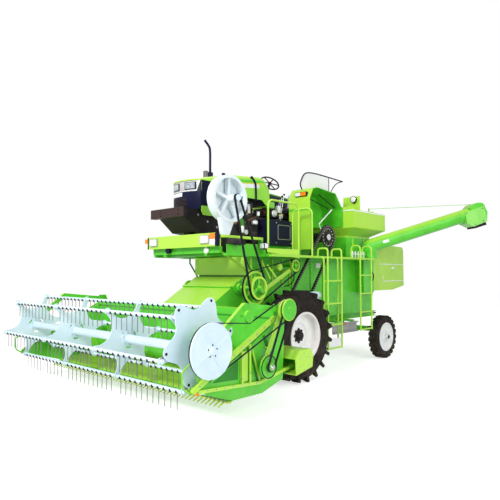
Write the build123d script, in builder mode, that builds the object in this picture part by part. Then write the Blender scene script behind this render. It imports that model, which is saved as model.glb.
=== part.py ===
"""Combine harvester with a farm tractor carried on its top as engine and driver's stand.

Millimetres. While the pieces are made, Y = 0 is the front axle, X = 0 the middle of the machine,
Z = 0 the ground. The machine drives towards -Y, and its left side is +X. At the end every piece
is moved by ORIGIN, so that the written model has its origin under the middle of the whole machine.
"""

import os
from math import acos, atan2, cos, degrees, hypot, pi, radians, sin, sqrt

from build123d import *

ORIGIN = (-258, -692, 0)

# Front wheels and axle
TYRE_R = 775
TYRE_IN, TYRE_OUT = 952, 1418
LUG_HEIGHT = 38
LUGS_A_SIDE = 19
RIM_R = 412
RIM_SEAT_R = 384
RIM_WALL = 10
DISC_X = 1258
HUB_R = 105
FRONT_Z = TYRE_R
AXLE_BEAM = 150
AXLE_END = 800
STUB_R = 48

# Rear axle
REAR_Y = 3220
REAR_TYRE_R = 460
REAR_TREAD = 14
REAR_BLOCKS = 22
REAR_TYRE_IN, REAR_TYRE_OUT = 985, 1200
REAR_RIM_R = 306
REAR_RIM_SEAT_R = 288
KINGPIN_X = 860
KINGPIN_R = 22
REAR_BEAM_Z = 610
REAR_BEAM = 100

# Chassis and body
RAIL_OUT, RAIL_WIDE, RAIL_Z0, RAIL_Z1 = 580, 80, 850, 970
RAIL_Y0, RAIL_Y1 = -330, 3900
BODY_HALF = 640
BODY_TOP = 2120
PANEL_THICK = 18
BODY_FRONT, BODY_SPLIT, BODY_END = -600, 2000, 3300
SHOE_END = 3640
HOOD_HALF, HOOD_END, HOOD_Z0, HOOD_Z1, HOOD_WALL = 820, 4830, 1450, 2520, 16
DECK = 40
DECK_TOP = BODY_TOP + DECK
DECK_HALF = 1150

# Grain tank
TANK_HALF, TANK_Y0, TANK_Y1 = 1100, 2060, 3380
TANK_BAND_Z0, TANK_TOP = 2780, 3150
TANK_FOOT_HALF, TANK_FOOT_Y0, TANK_FOOT_Y1, TANK_FOOT_Z = 800, 2240, 3200, 2640
TANK_WALL = 16

# Chain drive from the tractor's half-shafts to the front wheels
CHAIN_X, CHAIN_WIDE, CHAIN_THICK = 900, 44, 50
TOP_Y, TOP_Z = 1400, 2550
TOP_SPROCKET_R, LOW_SPROCKET_R = 190, 230
SPROCKET_THICK = 24
RUNNING_GAP = 6
CHAIN_GAP = 0.6
CHAIN_LINKS = 58

# Header
LIFT_Y, LIFT_Z = -850, 1600
LIFT_PIN_R = 40
FEEDER_HALF = 610
HEADER_HALF = 2170
END_THICK = 20
AUGER_Y, AUGER_Z, AUGER_R, AUGER_TUBE_R = -2050, 655, 250, 125
TROUGH_R = AUGER_R + 35
TROUGH_WALL = 12
TROUGH_TOP = 1250
FLIGHT_THICK, FLIGHT_PITCH, FLIGHT_INNER_END = 6, 460, 620
FINGER_R, FINGER_OUT = 8, 105
GUARD_OUT = 2380
GUARD_LONG, GUARD_TILT = 110, 25
REEL_PULLEY_R, SMALL_PULLEY_R, COVER_R = 135, 62, 146
AUGER_PULLEY_R, AUGER_DISC_R = 52, 148
KNIFE_Y, KNIFE_Z = -2560, 300
GUARD_PITCH = 76.2

# Reel
REEL_Y, REEL_Z = -3050, 965
BAT_CIRCLE_R = 500
BAT_R = 20
BAT_START = 10
BATS = 6
STAR_HOLES = 3
STAR_THICK = 12
STARS_X = (-2050, -700, 700, 2050)
STAR_VALLEY_R = 285
REEL_TUBE_R = 58
REEL_SHAFT_R = 25
CRANK = (30, 80)
CRANK_X = 2078
ECCENTRIC_X = 2104
ECCENTRIC_HUB_R = 120
TINE = 7
TINE_LONG = 200
TINE_PITCH = 115
PIVOT_Y, PIVOT_Z = -1710, 1360
ARM_X0, ARM_X1 = 2240, 2290
DISC_R, DISC_X0, DISC_X1 = 320, 2305, 2350

# Unloading auger
SPOUT_X, SPOUT_Y, SPOUT_Z = 1000, 2850, 2430
SPOUT_TUBE_R = 145
SPOUT_TURN = 50
SPOUT_RISE = 17.3
SPOUT_REACH = 2450
STAY_R, STAY_RING_R, STAY_PIN_R = 5, 18, 8
STAY_Z = 3235
SPOUT_SIDE = (
    # along the tube, up from its middle
    (-150, 150), (-150, -110), (-40, -215), (150, -215), (210, -60), (170, 160), (60, 200), (-60, 200)
)

# Tractor
BONNET_HALF, BONNET_ROUND, BONNET_WALL = 360, 70, 12
NOSE_Y, NOSE_R = -1540, 662
GRILLE_HALF = 350
FENDER_IN, FENDER_OUT, FENDER_WALL = 340, 850, 14

# Belt drive on the left side
WHEEL_Y, WHEEL_Z, WHEEL_R = -1340, 3020, 378
WHEEL_X0, WHEEL_X1 = 790, 940
SIDE_BEAM_Z = 2440
SMALL_Y, SMALL_Z, SMALL_R = 240, 1980, 110
BIG_PULLEY_R, FRONT_PULLEY_R, WHEEL_PULLEY_R = 280, 190, 50

# Lift cylinders between the front axle and the feeder house
LIFT_X, LIFT_CLEVIS = 480, 34
BARREL_Y, BARREL_Z = -150, 770
EYE_Y, EYE_Z = -1150, 720
BARREL_LONG = 640
BORE_LONG = 520
ROD_INSIDE = 420
EYE_PIN_R, EYE_BORE_R, EYE_R = 12, 21, 36

nodes = {}


def block(x, y, z, mode=Mode.ADD):
    """A box between its limits on each axis."""
    with Locations(((x[0] + x[1]) / 2, (y[0] + y[1]) / 2, (z[0] + z[1]) / 2)):
        Box(x[1] - x[0], y[1] - y[0], z[1] - z[0], mode=mode)


def slab(outline, x0, x1, mode=Mode.ADD, inset=0):
    """A flat plate with an outline of (y, z) points, drawn in by inset, from x0 to x1."""
    with BuildSketch(Plane.YZ.offset(x0)) as flat:
        with BuildLine():
            Polyline(*outline, close=True)
        make_face()
        if inset:
            offset(amount=-inset, kind=Kind.INTERSECTION, mode=Mode.REPLACE)
    extrude(flat.sketch, amount=x1 - x0, mode=mode)


def disc(y, z, r, x0, x1, mode=Mode.ADD):
    """A round disc or bar along X."""
    with Locations(Location(((x0 + x1) / 2, y, z), (0, 90, 0))):
        Cylinder(r, x1 - x0, mode=mode)


def rod(start, end, r, mode=Mode.ADD):
    """A straight round bar between two points."""
    a, b = Vector(*start), Vector(*end)
    with Locations(Plane(origin=(a + b) / 2, z_dir=b - a).location):
        Cylinder(r, (b - a).length, mode=mode)


def pipe(route, r, bend):
    """A bent tube along a route of points, every corner with the same bend."""
    with BuildLine() as path:
        FilletPolyline(*route, radius=bend)
    start = path.line @ 0
    with BuildSketch(Plane(origin=start, z_dir=path.line % 0)) as section:
        Circle(r)
    sweep(section.sketch, path=path.line)


def link(a, b, half, x0, x1, mode=Mode.ADD):
    """A flat bar with round ends between two (y, z) points, from x0 to x1."""
    long = hypot(b[0] - a[0], b[1] - a[1])
    turn = degrees(atan2(b[1] - a[1], b[0] - a[0]))
    with BuildSketch(Plane.YZ.offset(x0)) as flat:
        with Locations(((a[0] + b[0]) / 2, (a[1] + b[1]) / 2)):
            SlotCenterToCenter(long, 2 * half, rotation=turn)
    extrude(flat.sketch, amount=x1 - x0, mode=mode)


def turned(outline, y, z, mode=Mode.ADD):
    """A solid turned about the X line through (y, z), from an outline of (x, radius) points."""
    with BuildSketch(Plane(origin=(0, y, z), x_dir=(1, 0, 0), z_dir=(0, -1, 0))) as half:
        with BuildLine():
            Polyline(*outline, close=True)
        make_face()
    revolve(half.sketch, axis=Axis((0, y, z), (1, 0, 0)), mode=mode)


def loop_line(wheels):
    """The line round a belt's wheels, given anticlockwise as (y, z, radius).

    A wheel that presses from outside has a negative radius.
    """
    leave = []
    for (y0, z0, r0), (y1, z1, r1) in zip(wheels, wheels[1:] + wheels[:1]):
        run = atan2(z1 - z0, y1 - y0)
        leave.append(run - acos((r0 - r1) / hypot(y1 - y0, z1 - z0)))
    for i, (y, z, r) in enumerate(wheels):
        arrive = leave[i - 1]
        if r > 0:
            CenterArc((y, z), r, degrees(arrive), degrees((leave[i] - arrive) % (2 * pi)))
        else:
            CenterArc((y, z), -r, degrees(arrive) + 180, -degrees((arrive - leave[i]) % (2 * pi)))
        y1, z1, r1 = wheels[(i + 1) % len(wheels)]
        c, s = cos(leave[i]), sin(leave[i])
        Line((y + r * c, z + r * s), (y1 + r1 * c, z1 + r1 * s))


def belt(wheels, thick, x0, x1):
    """A closed belt whose inner face lies on its wheels."""
    with BuildSketch(Plane.YZ.offset(x0)) as flat:
        with BuildLine():
            loop_line([(y, z, r + thick) for y, z, r in wheels])
        make_face()
        with BuildLine():
            loop_line(wheels)
        make_face(mode=Mode.SUBTRACT)
    extrude(flat.sketch, amount=x1 - x0)


def star_outline(y, z, reach, valley, tip):
    """The outline of a six-armed reel star: round tips joined by hollow curves."""
    step = 360 / BATS
    for k in range(BATS):
        at = BAT_START + k * step
        side = degrees(tip / reach)
        tip_mid = reach + tip

        def point(radius, turn):
            return (y + radius * cos(radians(turn)), z + radius * sin(radians(turn)))

        ThreePointArc(point(reach, at - side), point(tip_mid, at), point(reach, at + side))
        ThreePointArc(
            point(reach, at + side), point(valley, at + step / 2), point(reach, at + step - side)
        )


def spoked(y, z, r, rim, hub, spokes, spoke_half, x0, x1):
    """A spoked wheel: a rim and a hub from x0 to x1, and flat spokes half as wide between them."""
    disc(y, z, r, x0, x1)
    disc(y, z, r - rim, x0, x1, Mode.SUBTRACT)
    disc(y, z, hub, x0, x1)
    inset = (x1 - x0) / 4
    reach = r - rim / 2 - spoke_half
    for k in range(spokes):
        turn = radians(90 + 360 * k / spokes)
        end = (y + reach * cos(turn), z + reach * sin(turn))
        link((y, z), end, spoke_half, x0 + inset, x1 - inset)


def bowed(grow, x0, x1, back, z0, z1, mode=Mode.ADD):
    """A part of the tractor's bowed nose, grown forwards, from x0 to x1 and back to a flat end."""
    r = NOSE_R + grow
    middle = (x0 + x1) / 2

    def front(x):
        return (x, NOSE_Y + NOSE_R - sqrt(r * r - x * x))

    with BuildSketch(Plane.XY.offset(z0)) as plan:
        with BuildLine():
            ThreePointArc(front(x0), front(middle), front(x1))
            Polyline(front(x1), (x1, back), (x0, back), front(x0))
        make_face()
    extrude(plan.sketch, amount=z1 - z0, mode=mode)


def keep(piece, name):
    """Put a finished piece into the list of nodes."""
    nodes[name] = piece


# Front wheels: tyre with two rows of slanting lugs, deep-dished rim and hub
lug_step = 360 / LUGS_A_SIDE
carcass_r = TYRE_R - LUG_HEIGHT
tyre_mid = (TYRE_IN + TYRE_OUT) / 2
with BuildPart() as front_tyre:
    turned(
        [
            (TYRE_IN + 55, RIM_SEAT_R + 1),
            (TYRE_IN + 12, RIM_R + 30),
            (TYRE_IN, 560),
            (TYRE_IN + 22, 665),
            (TYRE_IN + 75, carcass_r - 12),
            (tyre_mid, carcass_r),
            (TYRE_OUT - 75, carcass_r - 12),
            (TYRE_OUT - 22, 665),
            (TYRE_OUT, 560),
            (TYRE_OUT - 12, RIM_R + 30),
            (TYRE_OUT - 55, RIM_SEAT_R + 1),
            (TYRE_OUT - 85, RIM_SEAT_R + 1),
            (TYRE_OUT - 50, 560),
            (TYRE_OUT - 100, 670),
            (TYRE_IN + 100, 670),
            (TYRE_IN + 50, 560),
            (TYRE_IN + 85, RIM_SEAT_R + 1),
        ],
        0,
        FRONT_Z,
    )
    for side, phase in ((1, 0), (-1, lug_step / 2)):
        with BuildSketch(Plane.XY.offset(FRONT_Z + 655)) as lug:
            with BuildLine():
                Polyline(
                    (tyre_mid - side * 14, -70),
                    (tyre_mid - side * 14, -18),
                    (tyre_mid + side * 205, 96),
                    (tyre_mid + side * 226, 96),
                    (tyre_mid + side * 226, 44),
                    close=True,
                )
            make_face()
        one = extrude(lug.sketch, amount=TYRE_R - 640, mode=Mode.PRIVATE)
        for k in range(LUGS_A_SIDE):
            add(one.rotate(Axis((0, 0, FRONT_Z), (1, 0, 0)), phase + k * lug_step))
    turned(
        [
            (TYRE_IN - 5, TYRE_R),
            (TYRE_IN - 5, TYRE_R + 90),
            (TYRE_OUT + 5, TYRE_R + 90),
            (TYRE_OUT + 5, TYRE_R),
        ],
        0,
        FRONT_Z,
        mode=Mode.SUBTRACT,
    )
with BuildPart() as front_rim:
    turned(
        [
            (TYRE_IN + 14, RIM_R),
            (TYRE_IN + 14, RIM_SEAT_R - RIM_WALL),
            (tyre_mid - 60, RIM_SEAT_R - RIM_WALL - 26),
            (DISC_X - 60, RIM_SEAT_R - RIM_WALL - 26),
            (DISC_X - 14, RIM_SEAT_R - 60),
            (DISC_X - 14, 215),
            (DISC_X - 34, 190),
            (DISC_X - 34, HUB_R - 30),
            (DISC_X - 22, HUB_R - 30),
            (DISC_X - 22, 195),
            (DISC_X, 220),
            (DISC_X, RIM_SEAT_R - 56),
            (DISC_X + 40, RIM_SEAT_R - RIM_WALL - 8),
            (TYRE_OUT - 14, RIM_SEAT_R - RIM_WALL),
            (TYRE_OUT - 14, RIM_R),
            (TYRE_OUT - 26, RIM_R),
            (TYRE_OUT - 30, RIM_SEAT_R),
            (tyre_mid + 40, RIM_SEAT_R),
            (tyre_mid + 20, RIM_SEAT_R - 24),
            (tyre_mid - 60, RIM_SEAT_R - 24),
            (tyre_mid - 80, RIM_SEAT_R),
            (TYRE_IN + 30, RIM_SEAT_R),
            (TYRE_IN + 26, RIM_R),
        ],
        0,
        FRONT_Z,
    )
with BuildPart() as front_hub:
    disc(0, FRONT_Z, STUB_R + 18, CHAIN_X - SPROCKET_THICK / 2, DISC_X - 34)
    disc(0, FRONT_Z, HUB_R + 40, DISC_X - 70, DISC_X - 34)
    disc(0, FRONT_Z, HUB_R - 32, DISC_X - 34, DISC_X + 30)
    disc(0, FRONT_Z, LOW_SPROCKET_R, CHAIN_X - SPROCKET_THICK / 2, CHAIN_X + SPROCKET_THICK / 2)
    disc(0, FRONT_Z, STUB_R + 0.5, CHAIN_X - SPROCKET_THICK, DISC_X - 60, Mode.SUBTRACT)
keep(front_tyre.part, "front_tyre_left")
keep(front_rim.part, "front_rim_left")
keep(front_hub.part, "front_hub_left")
for name in ("front_tyre", "front_rim", "front_hub"):
    keep(mirror(nodes[name + "_left"], about=Plane.YZ), name + "_right")

# Rear wheels, knuckles and axle
with BuildPart() as rear_tyre:
    turned(
        [
            (REAR_TYRE_IN + 30, REAR_RIM_SEAT_R + 1),
            (REAR_TYRE_IN, 345),
            (REAR_TYRE_IN + 4, 400),
            (REAR_TYRE_IN + 30, REAR_TYRE_R - REAR_TREAD - 8),
            (REAR_TYRE_IN + 60, REAR_TYRE_R - REAR_TREAD),
            (REAR_TYRE_OUT - 60, REAR_TYRE_R - REAR_TREAD),
            (REAR_TYRE_OUT - 30, REAR_TYRE_R - REAR_TREAD - 8),
            (REAR_TYRE_OUT - 4, 400),
            (REAR_TYRE_OUT, 345),
            (REAR_TYRE_OUT - 30, REAR_RIM_SEAT_R + 1),
            (REAR_TYRE_OUT - 50, REAR_RIM_SEAT_R + 1),
            (REAR_TYRE_OUT - 25, 345),
            (REAR_TYRE_OUT - 45, 425),
            (REAR_TYRE_IN + 45, 425),
            (REAR_TYRE_IN + 25, 345),
            (REAR_TYRE_IN + 50, REAR_RIM_SEAT_R + 1),
        ],
        REAR_Y,
        REAR_TYRE_R,
    )
    rear_mid = (REAR_TYRE_IN + REAR_TYRE_OUT) / 2
    block_step = 360 / REAR_BLOCKS
    for side in (-1, 1):
        for k in range(REAR_BLOCKS):
            x0, x1 = sorted((rear_mid + side * 12, rear_mid + side * 92))
            with Locations(Location((0, REAR_Y, REAR_TYRE_R), (block_step * (k + side / 4), 0, 0))):
                with Locations(((x0 + x1) / 2, 0, REAR_TYRE_R - REAR_TREAD - 4)):
                    Box(x1 - x0, 78, 36)
    turned(
        [
            (REAR_TYRE_IN - 1, REAR_TYRE_R),
            (REAR_TYRE_IN - 1, REAR_TYRE_R + 30),
            (REAR_TYRE_OUT + 1, REAR_TYRE_R + 30),
            (REAR_TYRE_OUT + 1, REAR_TYRE_R),
        ],
        REAR_Y,
        REAR_TYRE_R,
        Mode.SUBTRACT,
    )
with BuildPart() as rear_rim:
    turned(
        [
            (REAR_TYRE_IN + 10, REAR_RIM_R),
            (REAR_TYRE_IN + 10, REAR_RIM_SEAT_R - 8),
            (REAR_TYRE_OUT - 62, REAR_RIM_SEAT_R - 14),
            (REAR_TYRE_OUT - 62, 40),
            (REAR_TYRE_OUT - 40, 40),
            (REAR_TYRE_OUT - 8, 62),
            (REAR_TYRE_OUT - 8, 100),
            (REAR_TYRE_OUT - 50, 130),
            (REAR_TYRE_OUT - 50, 240),
            (REAR_TYRE_OUT - 30, REAR_RIM_SEAT_R - 8),
            (REAR_TYRE_OUT - 10, REAR_RIM_SEAT_R - 8),
            (REAR_TYRE_OUT - 10, REAR_RIM_R),
            (REAR_TYRE_OUT - 18, REAR_RIM_R),
            (REAR_TYRE_OUT - 22, REAR_RIM_SEAT_R),
            (REAR_TYRE_IN + 22, REAR_RIM_SEAT_R),
            (REAR_TYRE_IN + 18, REAR_RIM_R),
        ],
        REAR_Y,
        REAR_TYRE_R,
    )
    disc(REAR_Y, REAR_TYRE_R, 40, REAR_TYRE_OUT - 90, REAR_TYRE_OUT + 36)
with BuildPart() as knuckle:
    with Locations((KINGPIN_X, REAR_Y, REAR_BEAM_Z)):
        Cylinder(KINGPIN_R, REAR_BEAM + 120)
    block((KINGPIN_X - 45, KINGPIN_X + 45), (REAR_Y - 45, REAR_Y + 45), (400, REAR_BEAM_Z - 50.5))
    disc(REAR_Y, REAR_TYRE_R, 30, KINGPIN_X + 40, REAR_TYRE_OUT - 90.5)
    block(
        (KINGPIN_X - 35, KINGPIN_X + 35),
        (REAR_Y - 190, REAR_Y + 45),
        (REAR_BEAM_Z + 50.5, REAR_BEAM_Z + 70),
    )
keep(rear_tyre.part, "rear_tyre_left")
keep(rear_rim.part, "rear_rim_left")
keep(knuckle.part, "knuckle_left")
for name in ("rear_tyre", "rear_rim", "knuckle"):
    keep(mirror(nodes[name + "_left"], about=Plane.YZ), name + "_right")

with BuildPart() as rear_axle:
    block(
        (-KINGPIN_X - 60, KINGPIN_X + 60),
        (REAR_Y - 55, REAR_Y + 55),
        (REAR_BEAM_Z - REAR_BEAM / 2, REAR_BEAM_Z + REAR_BEAM / 2),
    )
    with Locations((KINGPIN_X, REAR_Y, REAR_BEAM_Z), (-KINGPIN_X, REAR_Y, REAR_BEAM_Z)):
        Cylinder(KINGPIN_R + 0.5, 2 * REAR_BEAM, mode=Mode.SUBTRACT)
    block((-90, 90), (REAR_Y - 55, REAR_Y + 55), (REAR_BEAM_Z + REAR_BEAM / 2, RAIL_Z0 - 60))
keep(rear_axle.part, "rear_axle")

# Chassis: two channel rails, cross members and a tow plate
cross_members = (-250, 1000, 2100, REAR_Y, RAIL_Y1 - 80)
with BuildPart() as chassis_frame:
    for side in (-1, 1):
        outer = side * RAIL_OUT
        inner = side * (RAIL_OUT - RAIL_WIDE)
        low, high = min(outer, inner), max(outer, inner)
        block((low, high), (RAIL_Y0, RAIL_Y1), (RAIL_Z0, RAIL_Z1))
        pocket = (low + 10, high + 1) if side > 0 else (low - 1, high - 10)
        block(pocket, (RAIL_Y0 - 1, RAIL_Y1 + 1), (RAIL_Z0 + 12, RAIL_Z1 - 12), Mode.SUBTRACT)
    for y in cross_members:
        block((-RAIL_OUT + RAIL_WIDE, RAIL_OUT - RAIL_WIDE), (y - 40, y + 40), (RAIL_Z0, RAIL_Z1))
    block((-120, 120), (REAR_Y - 70, REAR_Y + 70), (RAIL_Z0 - 60, RAIL_Z0))
    block((-60, 60), (RAIL_Y1 - 120, RAIL_Y1 + 130), (RAIL_Z0, RAIL_Z0 + 25))
    with Locations((0, RAIL_Y1 + 80, RAIL_Z0 + 12)):
        Cylinder(16.5, 60, mode=Mode.SUBTRACT)
    for y in (1700, 2200):
        block((RAIL_OUT, 990), (y - 30, y + 30), (RAIL_Z0, RAIL_Z0 + 40))
    block((940, 1000), (1480, 2380), (640, RAIL_Z0))
    block((952, 1001), (1479, 2381), (665, RAIL_Z0 - 25), Mode.SUBTRACT)
keep(chassis_frame.part, "chassis_frame")

with BuildPart() as front_axle:
    beam_half = AXLE_BEAM / 2
    block((-AXLE_END, AXLE_END), (-beam_half, beam_half), (RAIL_Z0 - AXLE_BEAM, RAIL_Z0))
    for side in (-1, 1):
        disc(0, FRONT_Z, 130, *sorted((side * 700, side * (CHAIN_X - SPROCKET_THICK / 2 - 0.5))))
        disc(0, FRONT_Z, STUB_R, *sorted((side * 700, side * (DISC_X - 61))))
        for x in (LIFT_X - LIFT_CLEVIS, LIFT_X + LIFT_CLEVIS):
            x0, x1 = sorted((side * (x - 8), side * (x + 8)))
            link((-beam_half + 10, BARREL_Z), (BARREL_Y, BARREL_Z), 36, x0, x1)
        x0, x1 = sorted((side * (LIFT_X - LIFT_CLEVIS), side * (LIFT_X + LIFT_CLEVIS)))
        disc(BARREL_Y, BARREL_Z, 20, x0, x1)
keep(front_axle.part, "front_axle")

# Threshing body with the feeder's pivot brackets, and the cleaning shoe behind it
with BuildPart() as threshing_body:
    slab(
        [
            (BODY_FRONT, 1250),
            (BODY_FRONT, 1810),
            (BODY_FRONT - 100, 1810),
            (BODY_FRONT - 100, BODY_TOP),
            (BODY_SPLIT, BODY_TOP),
            (BODY_SPLIT, RAIL_Z1),
            (BODY_FRONT + 350, RAIL_Z1),
        ],
        -BODY_HALF,
        BODY_HALF,
    )
    for side in (-1, 1):
        x0, x1 = sorted((side * (FEEDER_HALF + 10), side * (FEEDER_HALF + 34)))
        link((BODY_FRONT + 60, LIFT_Z), (LIFT_Y, LIFT_Z), 110, x0, x1)
        disc(LIFT_Y, LIFT_Z, LIFT_PIN_R + 0.5, x0, x1, Mode.SUBTRACT)
        disc(LIFT_Y, LIFT_Z, 70, *sorted((side * (FEEDER_HALF + 34), side * (FEEDER_HALF + 90))))
    for side in (-1, 1):
        x0, x1 = sorted((side * BODY_HALF, side * (BODY_HALF + PANEL_THICK)))
        for y0, y1 in ((560, 1120), (1160, 1540), (1580, 1960)):
            block((x0, x1), (y0, y1), (RAIL_Z1 + 50, BODY_TOP - 60))
        block((x0, x1), (-420, 480), (1290, 1560))
keep(threshing_body.part, "threshing_body")

with BuildPart() as cleaning_shoe:
    slab(
        [
            (BODY_SPLIT, RAIL_Z1),
            (BODY_SPLIT, BODY_TOP),
            (BODY_END, BODY_TOP),
            (BODY_END, HOOD_Z0),
            (SHOE_END, HOOD_Z0),
            (SHOE_END - 100, RAIL_Z1),
        ],
        -BODY_HALF,
        BODY_HALF,
    )
    block((BODY_HALF, 850), (2860, BODY_END), (1420, BODY_TOP))
    for y0, y1 in ((2300, 2420), (2450, 2750)):
        block((-BODY_HALF - 240, -BODY_HALF), (y0, y1), (1000, BODY_TOP))
keep(cleaning_shoe.part, "cleaning_shoe")

with BuildPart() as rear_hood:
    slab(
        [
            (BODY_END, HOOD_Z0),
            (BODY_END, HOOD_Z1),
            (HOOD_END - 60, HOOD_Z1 - 40),
            (HOOD_END, HOOD_Z1 - 130),
            (HOOD_END, HOOD_Z0 + 90),
            (SHOE_END + 600, HOOD_Z0),
        ],
        -HOOD_HALF,
        HOOD_HALF,
    )
    slab(
        [
            (BODY_END + HOOD_WALL, HOOD_Z0 + HOOD_WALL),
            (BODY_END + HOOD_WALL, HOOD_Z1 - HOOD_WALL),
            (HOOD_END - 70, HOOD_Z1 - 40 - HOOD_WALL),
            (HOOD_END - HOOD_WALL, HOOD_Z1 - 140),
            (HOOD_END - HOOD_WALL, HOOD_Z0 - 50),
            (SHOE_END + 20, HOOD_Z0 - 50),
            (SHOE_END + 20, HOOD_Z0 + HOOD_WALL),
        ],
        -HOOD_HALF + HOOD_WALL,
        HOOD_HALF - HOOD_WALL,
        Mode.SUBTRACT,
    )
keep(rear_hood.part, "rear_hood")

# Grain tank: an open bin with a straight band, a sloping belt and a narrower foot
with BuildPart() as grain_tank:
    outer_rings = (
        (TANK_TOP, TANK_HALF, TANK_Y0, TANK_Y1),
        (TANK_BAND_Z0, TANK_HALF, TANK_Y0, TANK_Y1),
        (TANK_FOOT_Z, TANK_FOOT_HALF, TANK_FOOT_Y0, TANK_FOOT_Y1),
        (DECK_TOP, TANK_FOOT_HALF, TANK_FOOT_Y0, TANK_FOOT_Y1),
    )
    for inset, mode in ((0, Mode.ADD), (TANK_WALL, Mode.SUBTRACT)):
        for (z1, half1, y10, y11), (z0, half0, y00, y01) in zip(outer_rings, outer_rings[1:]):
            floor = inset if z0 == DECK_TOP else 0
            with BuildSketch(Plane.XY.offset(z0 + floor)) as low:
                with Locations((0, (y00 + y01) / 2)):
                    Rectangle(2 * (half0 - inset), y01 - y00 - 2 * inset)
            with BuildSketch(Plane.XY.offset(z1)) as high:
                with Locations((0, (y10 + y11) / 2)):
                    Rectangle(2 * (half1 - inset), y11 - y10 - 2 * inset)
            loft([low.sketch, high.sketch], mode=mode)
    block((-TANK_HALF, TANK_HALF), (TANK_Y0, TANK_Y0 + 30), (TANK_TOP, TANK_TOP + 70))
    block((700, TANK_HALF), (TANK_Y0 + 240, TANK_Y0 + 252), (TANK_TOP, TANK_TOP + 300))
    block((SPOUT_X - 30, TANK_HALF), (SPOUT_Y - 30, SPOUT_Y + 30), (TANK_TOP, TANK_TOP + 20))
    with Locations((SPOUT_X, SPOUT_Y, (TANK_TOP + STAY_Z + 20) / 2)):
        Cylinder(STAY_PIN_R, STAY_Z + 20 - TANK_TOP)
    with Locations((SPOUT_X, SPOUT_Y, (TANK_TOP + STAY_Z - 5.3) / 2)):
        Cylinder(STAY_RING_R - 4, STAY_Z - 5.3 - TANK_TOP)
keep(grain_tank.part, "grain_tank")

# Platform with the slots for the chains, and the stands that carry the tractor
with BuildPart() as platform:
    block((-DECK_HALF, DECK_HALF), (BODY_FRONT, BODY_SPLIT), (BODY_TOP, DECK_TOP))
    block((BODY_HALF, DECK_HALF), (BODY_SPLIT, SPOUT_Y + 180), (BODY_TOP, DECK_TOP))
    for side in (-1, 1):
        x0, x1 = sorted((side * 850, side * 930))
        block((x0, x1), (-1420, BODY_FRONT), (BODY_TOP, DECK_TOP))
    block((-DECK_HALF, BODY_HALF), (BODY_SPLIT, BODY_END), (BODY_TOP, DECK_TOP))
    for side in (-1, 1):
        x0, x1 = sorted((side * (CHAIN_X - 40), side * (CHAIN_X + 40)))
        block((x0, x1), (720, 1460), (BODY_TOP - 1, DECK_TOP + 1), Mode.SUBTRACT)
    block((-560, 560), (-1400, -1260), (BODY_TOP, DECK_TOP))
    for y, top in ((-600, 2450), (1300, 2400)):
        block((-240, 240), (y, y + 120), (DECK_TOP, top))
    for side in (-1, 1):
        x0, x1 = sorted((side * 500, side * 560))
        block((x0, x1), (-1500, BODY_FRONT), (BODY_TOP, DECK_TOP))
    block((-850, 850), (-1500, -1440), (DECK_TOP, 2260))
    for side in (-1, 1):
        x0, x1 = sorted((side * (DECK_HALF - 12), side * DECK_HALF))
        slab([(-700, DECK_TOP + 30), (-700, 2250), (155, 2255), (155, 2100), (-600, 2180)], x0, x1)
        x0, x1 = sorted((side * 918, side * 930))
        block((x0, x1), (-1420, BODY_FRONT), (DECK_TOP, 2300))
        x0, x1 = sorted((side * 850, side * 930))
        block((x0, x1), (-1510, -560), (SIDE_BEAM_Z - 40, SIDE_BEAM_Z))
        block((x0, x1), (-600, -560), (DECK_TOP, SIDE_BEAM_Z))
    with Locations((SPOUT_X, SPOUT_Y, (DECK_TOP + 2270) / 2)):
        Cylinder(170, 2270 - DECK_TOP)
keep(platform.part, "platform")

# Light bar
with BuildPart() as light_bar:
    block((-850, 850), (-1600, -1470), (2260, 2470))
keep(light_bar.part, "light_bar")

with BuildPart() as lamps:
    for side in (-1, 1):
        block(sorted((side * 480, side * 690)), (-1630, -1600), (2300, 2440))
        block(sorted((side * 850, side * 930)), (-1600, -1510), (2300, 2440))
        x0, x1 = sorted((side * 70, side * 285))
        bowed(14, x0, x1, -1440, 3225, 3345)
        bowed(0.3, x0 - 1, x1 + 1, -1400, 3200, 3370, Mode.SUBTRACT)
keep(lamps.part, "lamps")

# Tractor: engine and gearbox as plain castings, half-shaft housings, and what is bolted to its side
engine_fittings = (
    # start, end, radius
    ((295, -420, 2640), (295, -420, 2800), 46),
    ((300, -250, 2930), (300, -250, 3060), 38),
    ((300, -350, 2930), (300, -350, 3060), 38),
    ((275, -860, 2760), (275, -560, 2760), 52),
    ((262, -960, 3000), (262, -820, 3000), 66),
    ((262, -760, 3090), (262, -160, 3090), 34),
    ((262, -230, 2560), (262, -40, 2560), 48),
)
with BuildPart() as engine:
    block((-230, 230), (-1000, -60), (2450, 3150))
    block((-200, 200), (-60, 1200), (2420, 2900))
    block((-270, 270), (1200, 1650), (2400, 3000))
    disc(TOP_Y, TOP_Z, 95, -840, 840)
    for start, end, r in engine_fittings:
        rod(start, end, r)
    for y in (-420, -300):
        block((230, 290), (y - 40, y + 40), (2800, 2930))
    block((200, 420), (120, 880), (2370, 2850))
    for side in (-1, 1):
        disc(TOP_Y, TOP_Z, 40.5, *sorted((side * 780, side * 850)), Mode.SUBTRACT)
        block(sorted((side * 330, side * 430)), (1340, 1460), (2600, 2660))
keep(engine.part, "engine")

with BuildPart() as front_carrier:
    slab([(-1780, 2890), (-1780, 2750), (-1500, 2520), (-1000, 2480), (-1000, 2890)], -320, 320)
    slab([(-1455, 2530), (-1380, DECK_TOP), (-1280, DECK_TOP), (-1300, 2530)], -60, 60)
    block((-420, 420), (-1880, -1780), (2740, 2890))
keep(front_carrier.part, "front_carrier")

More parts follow.
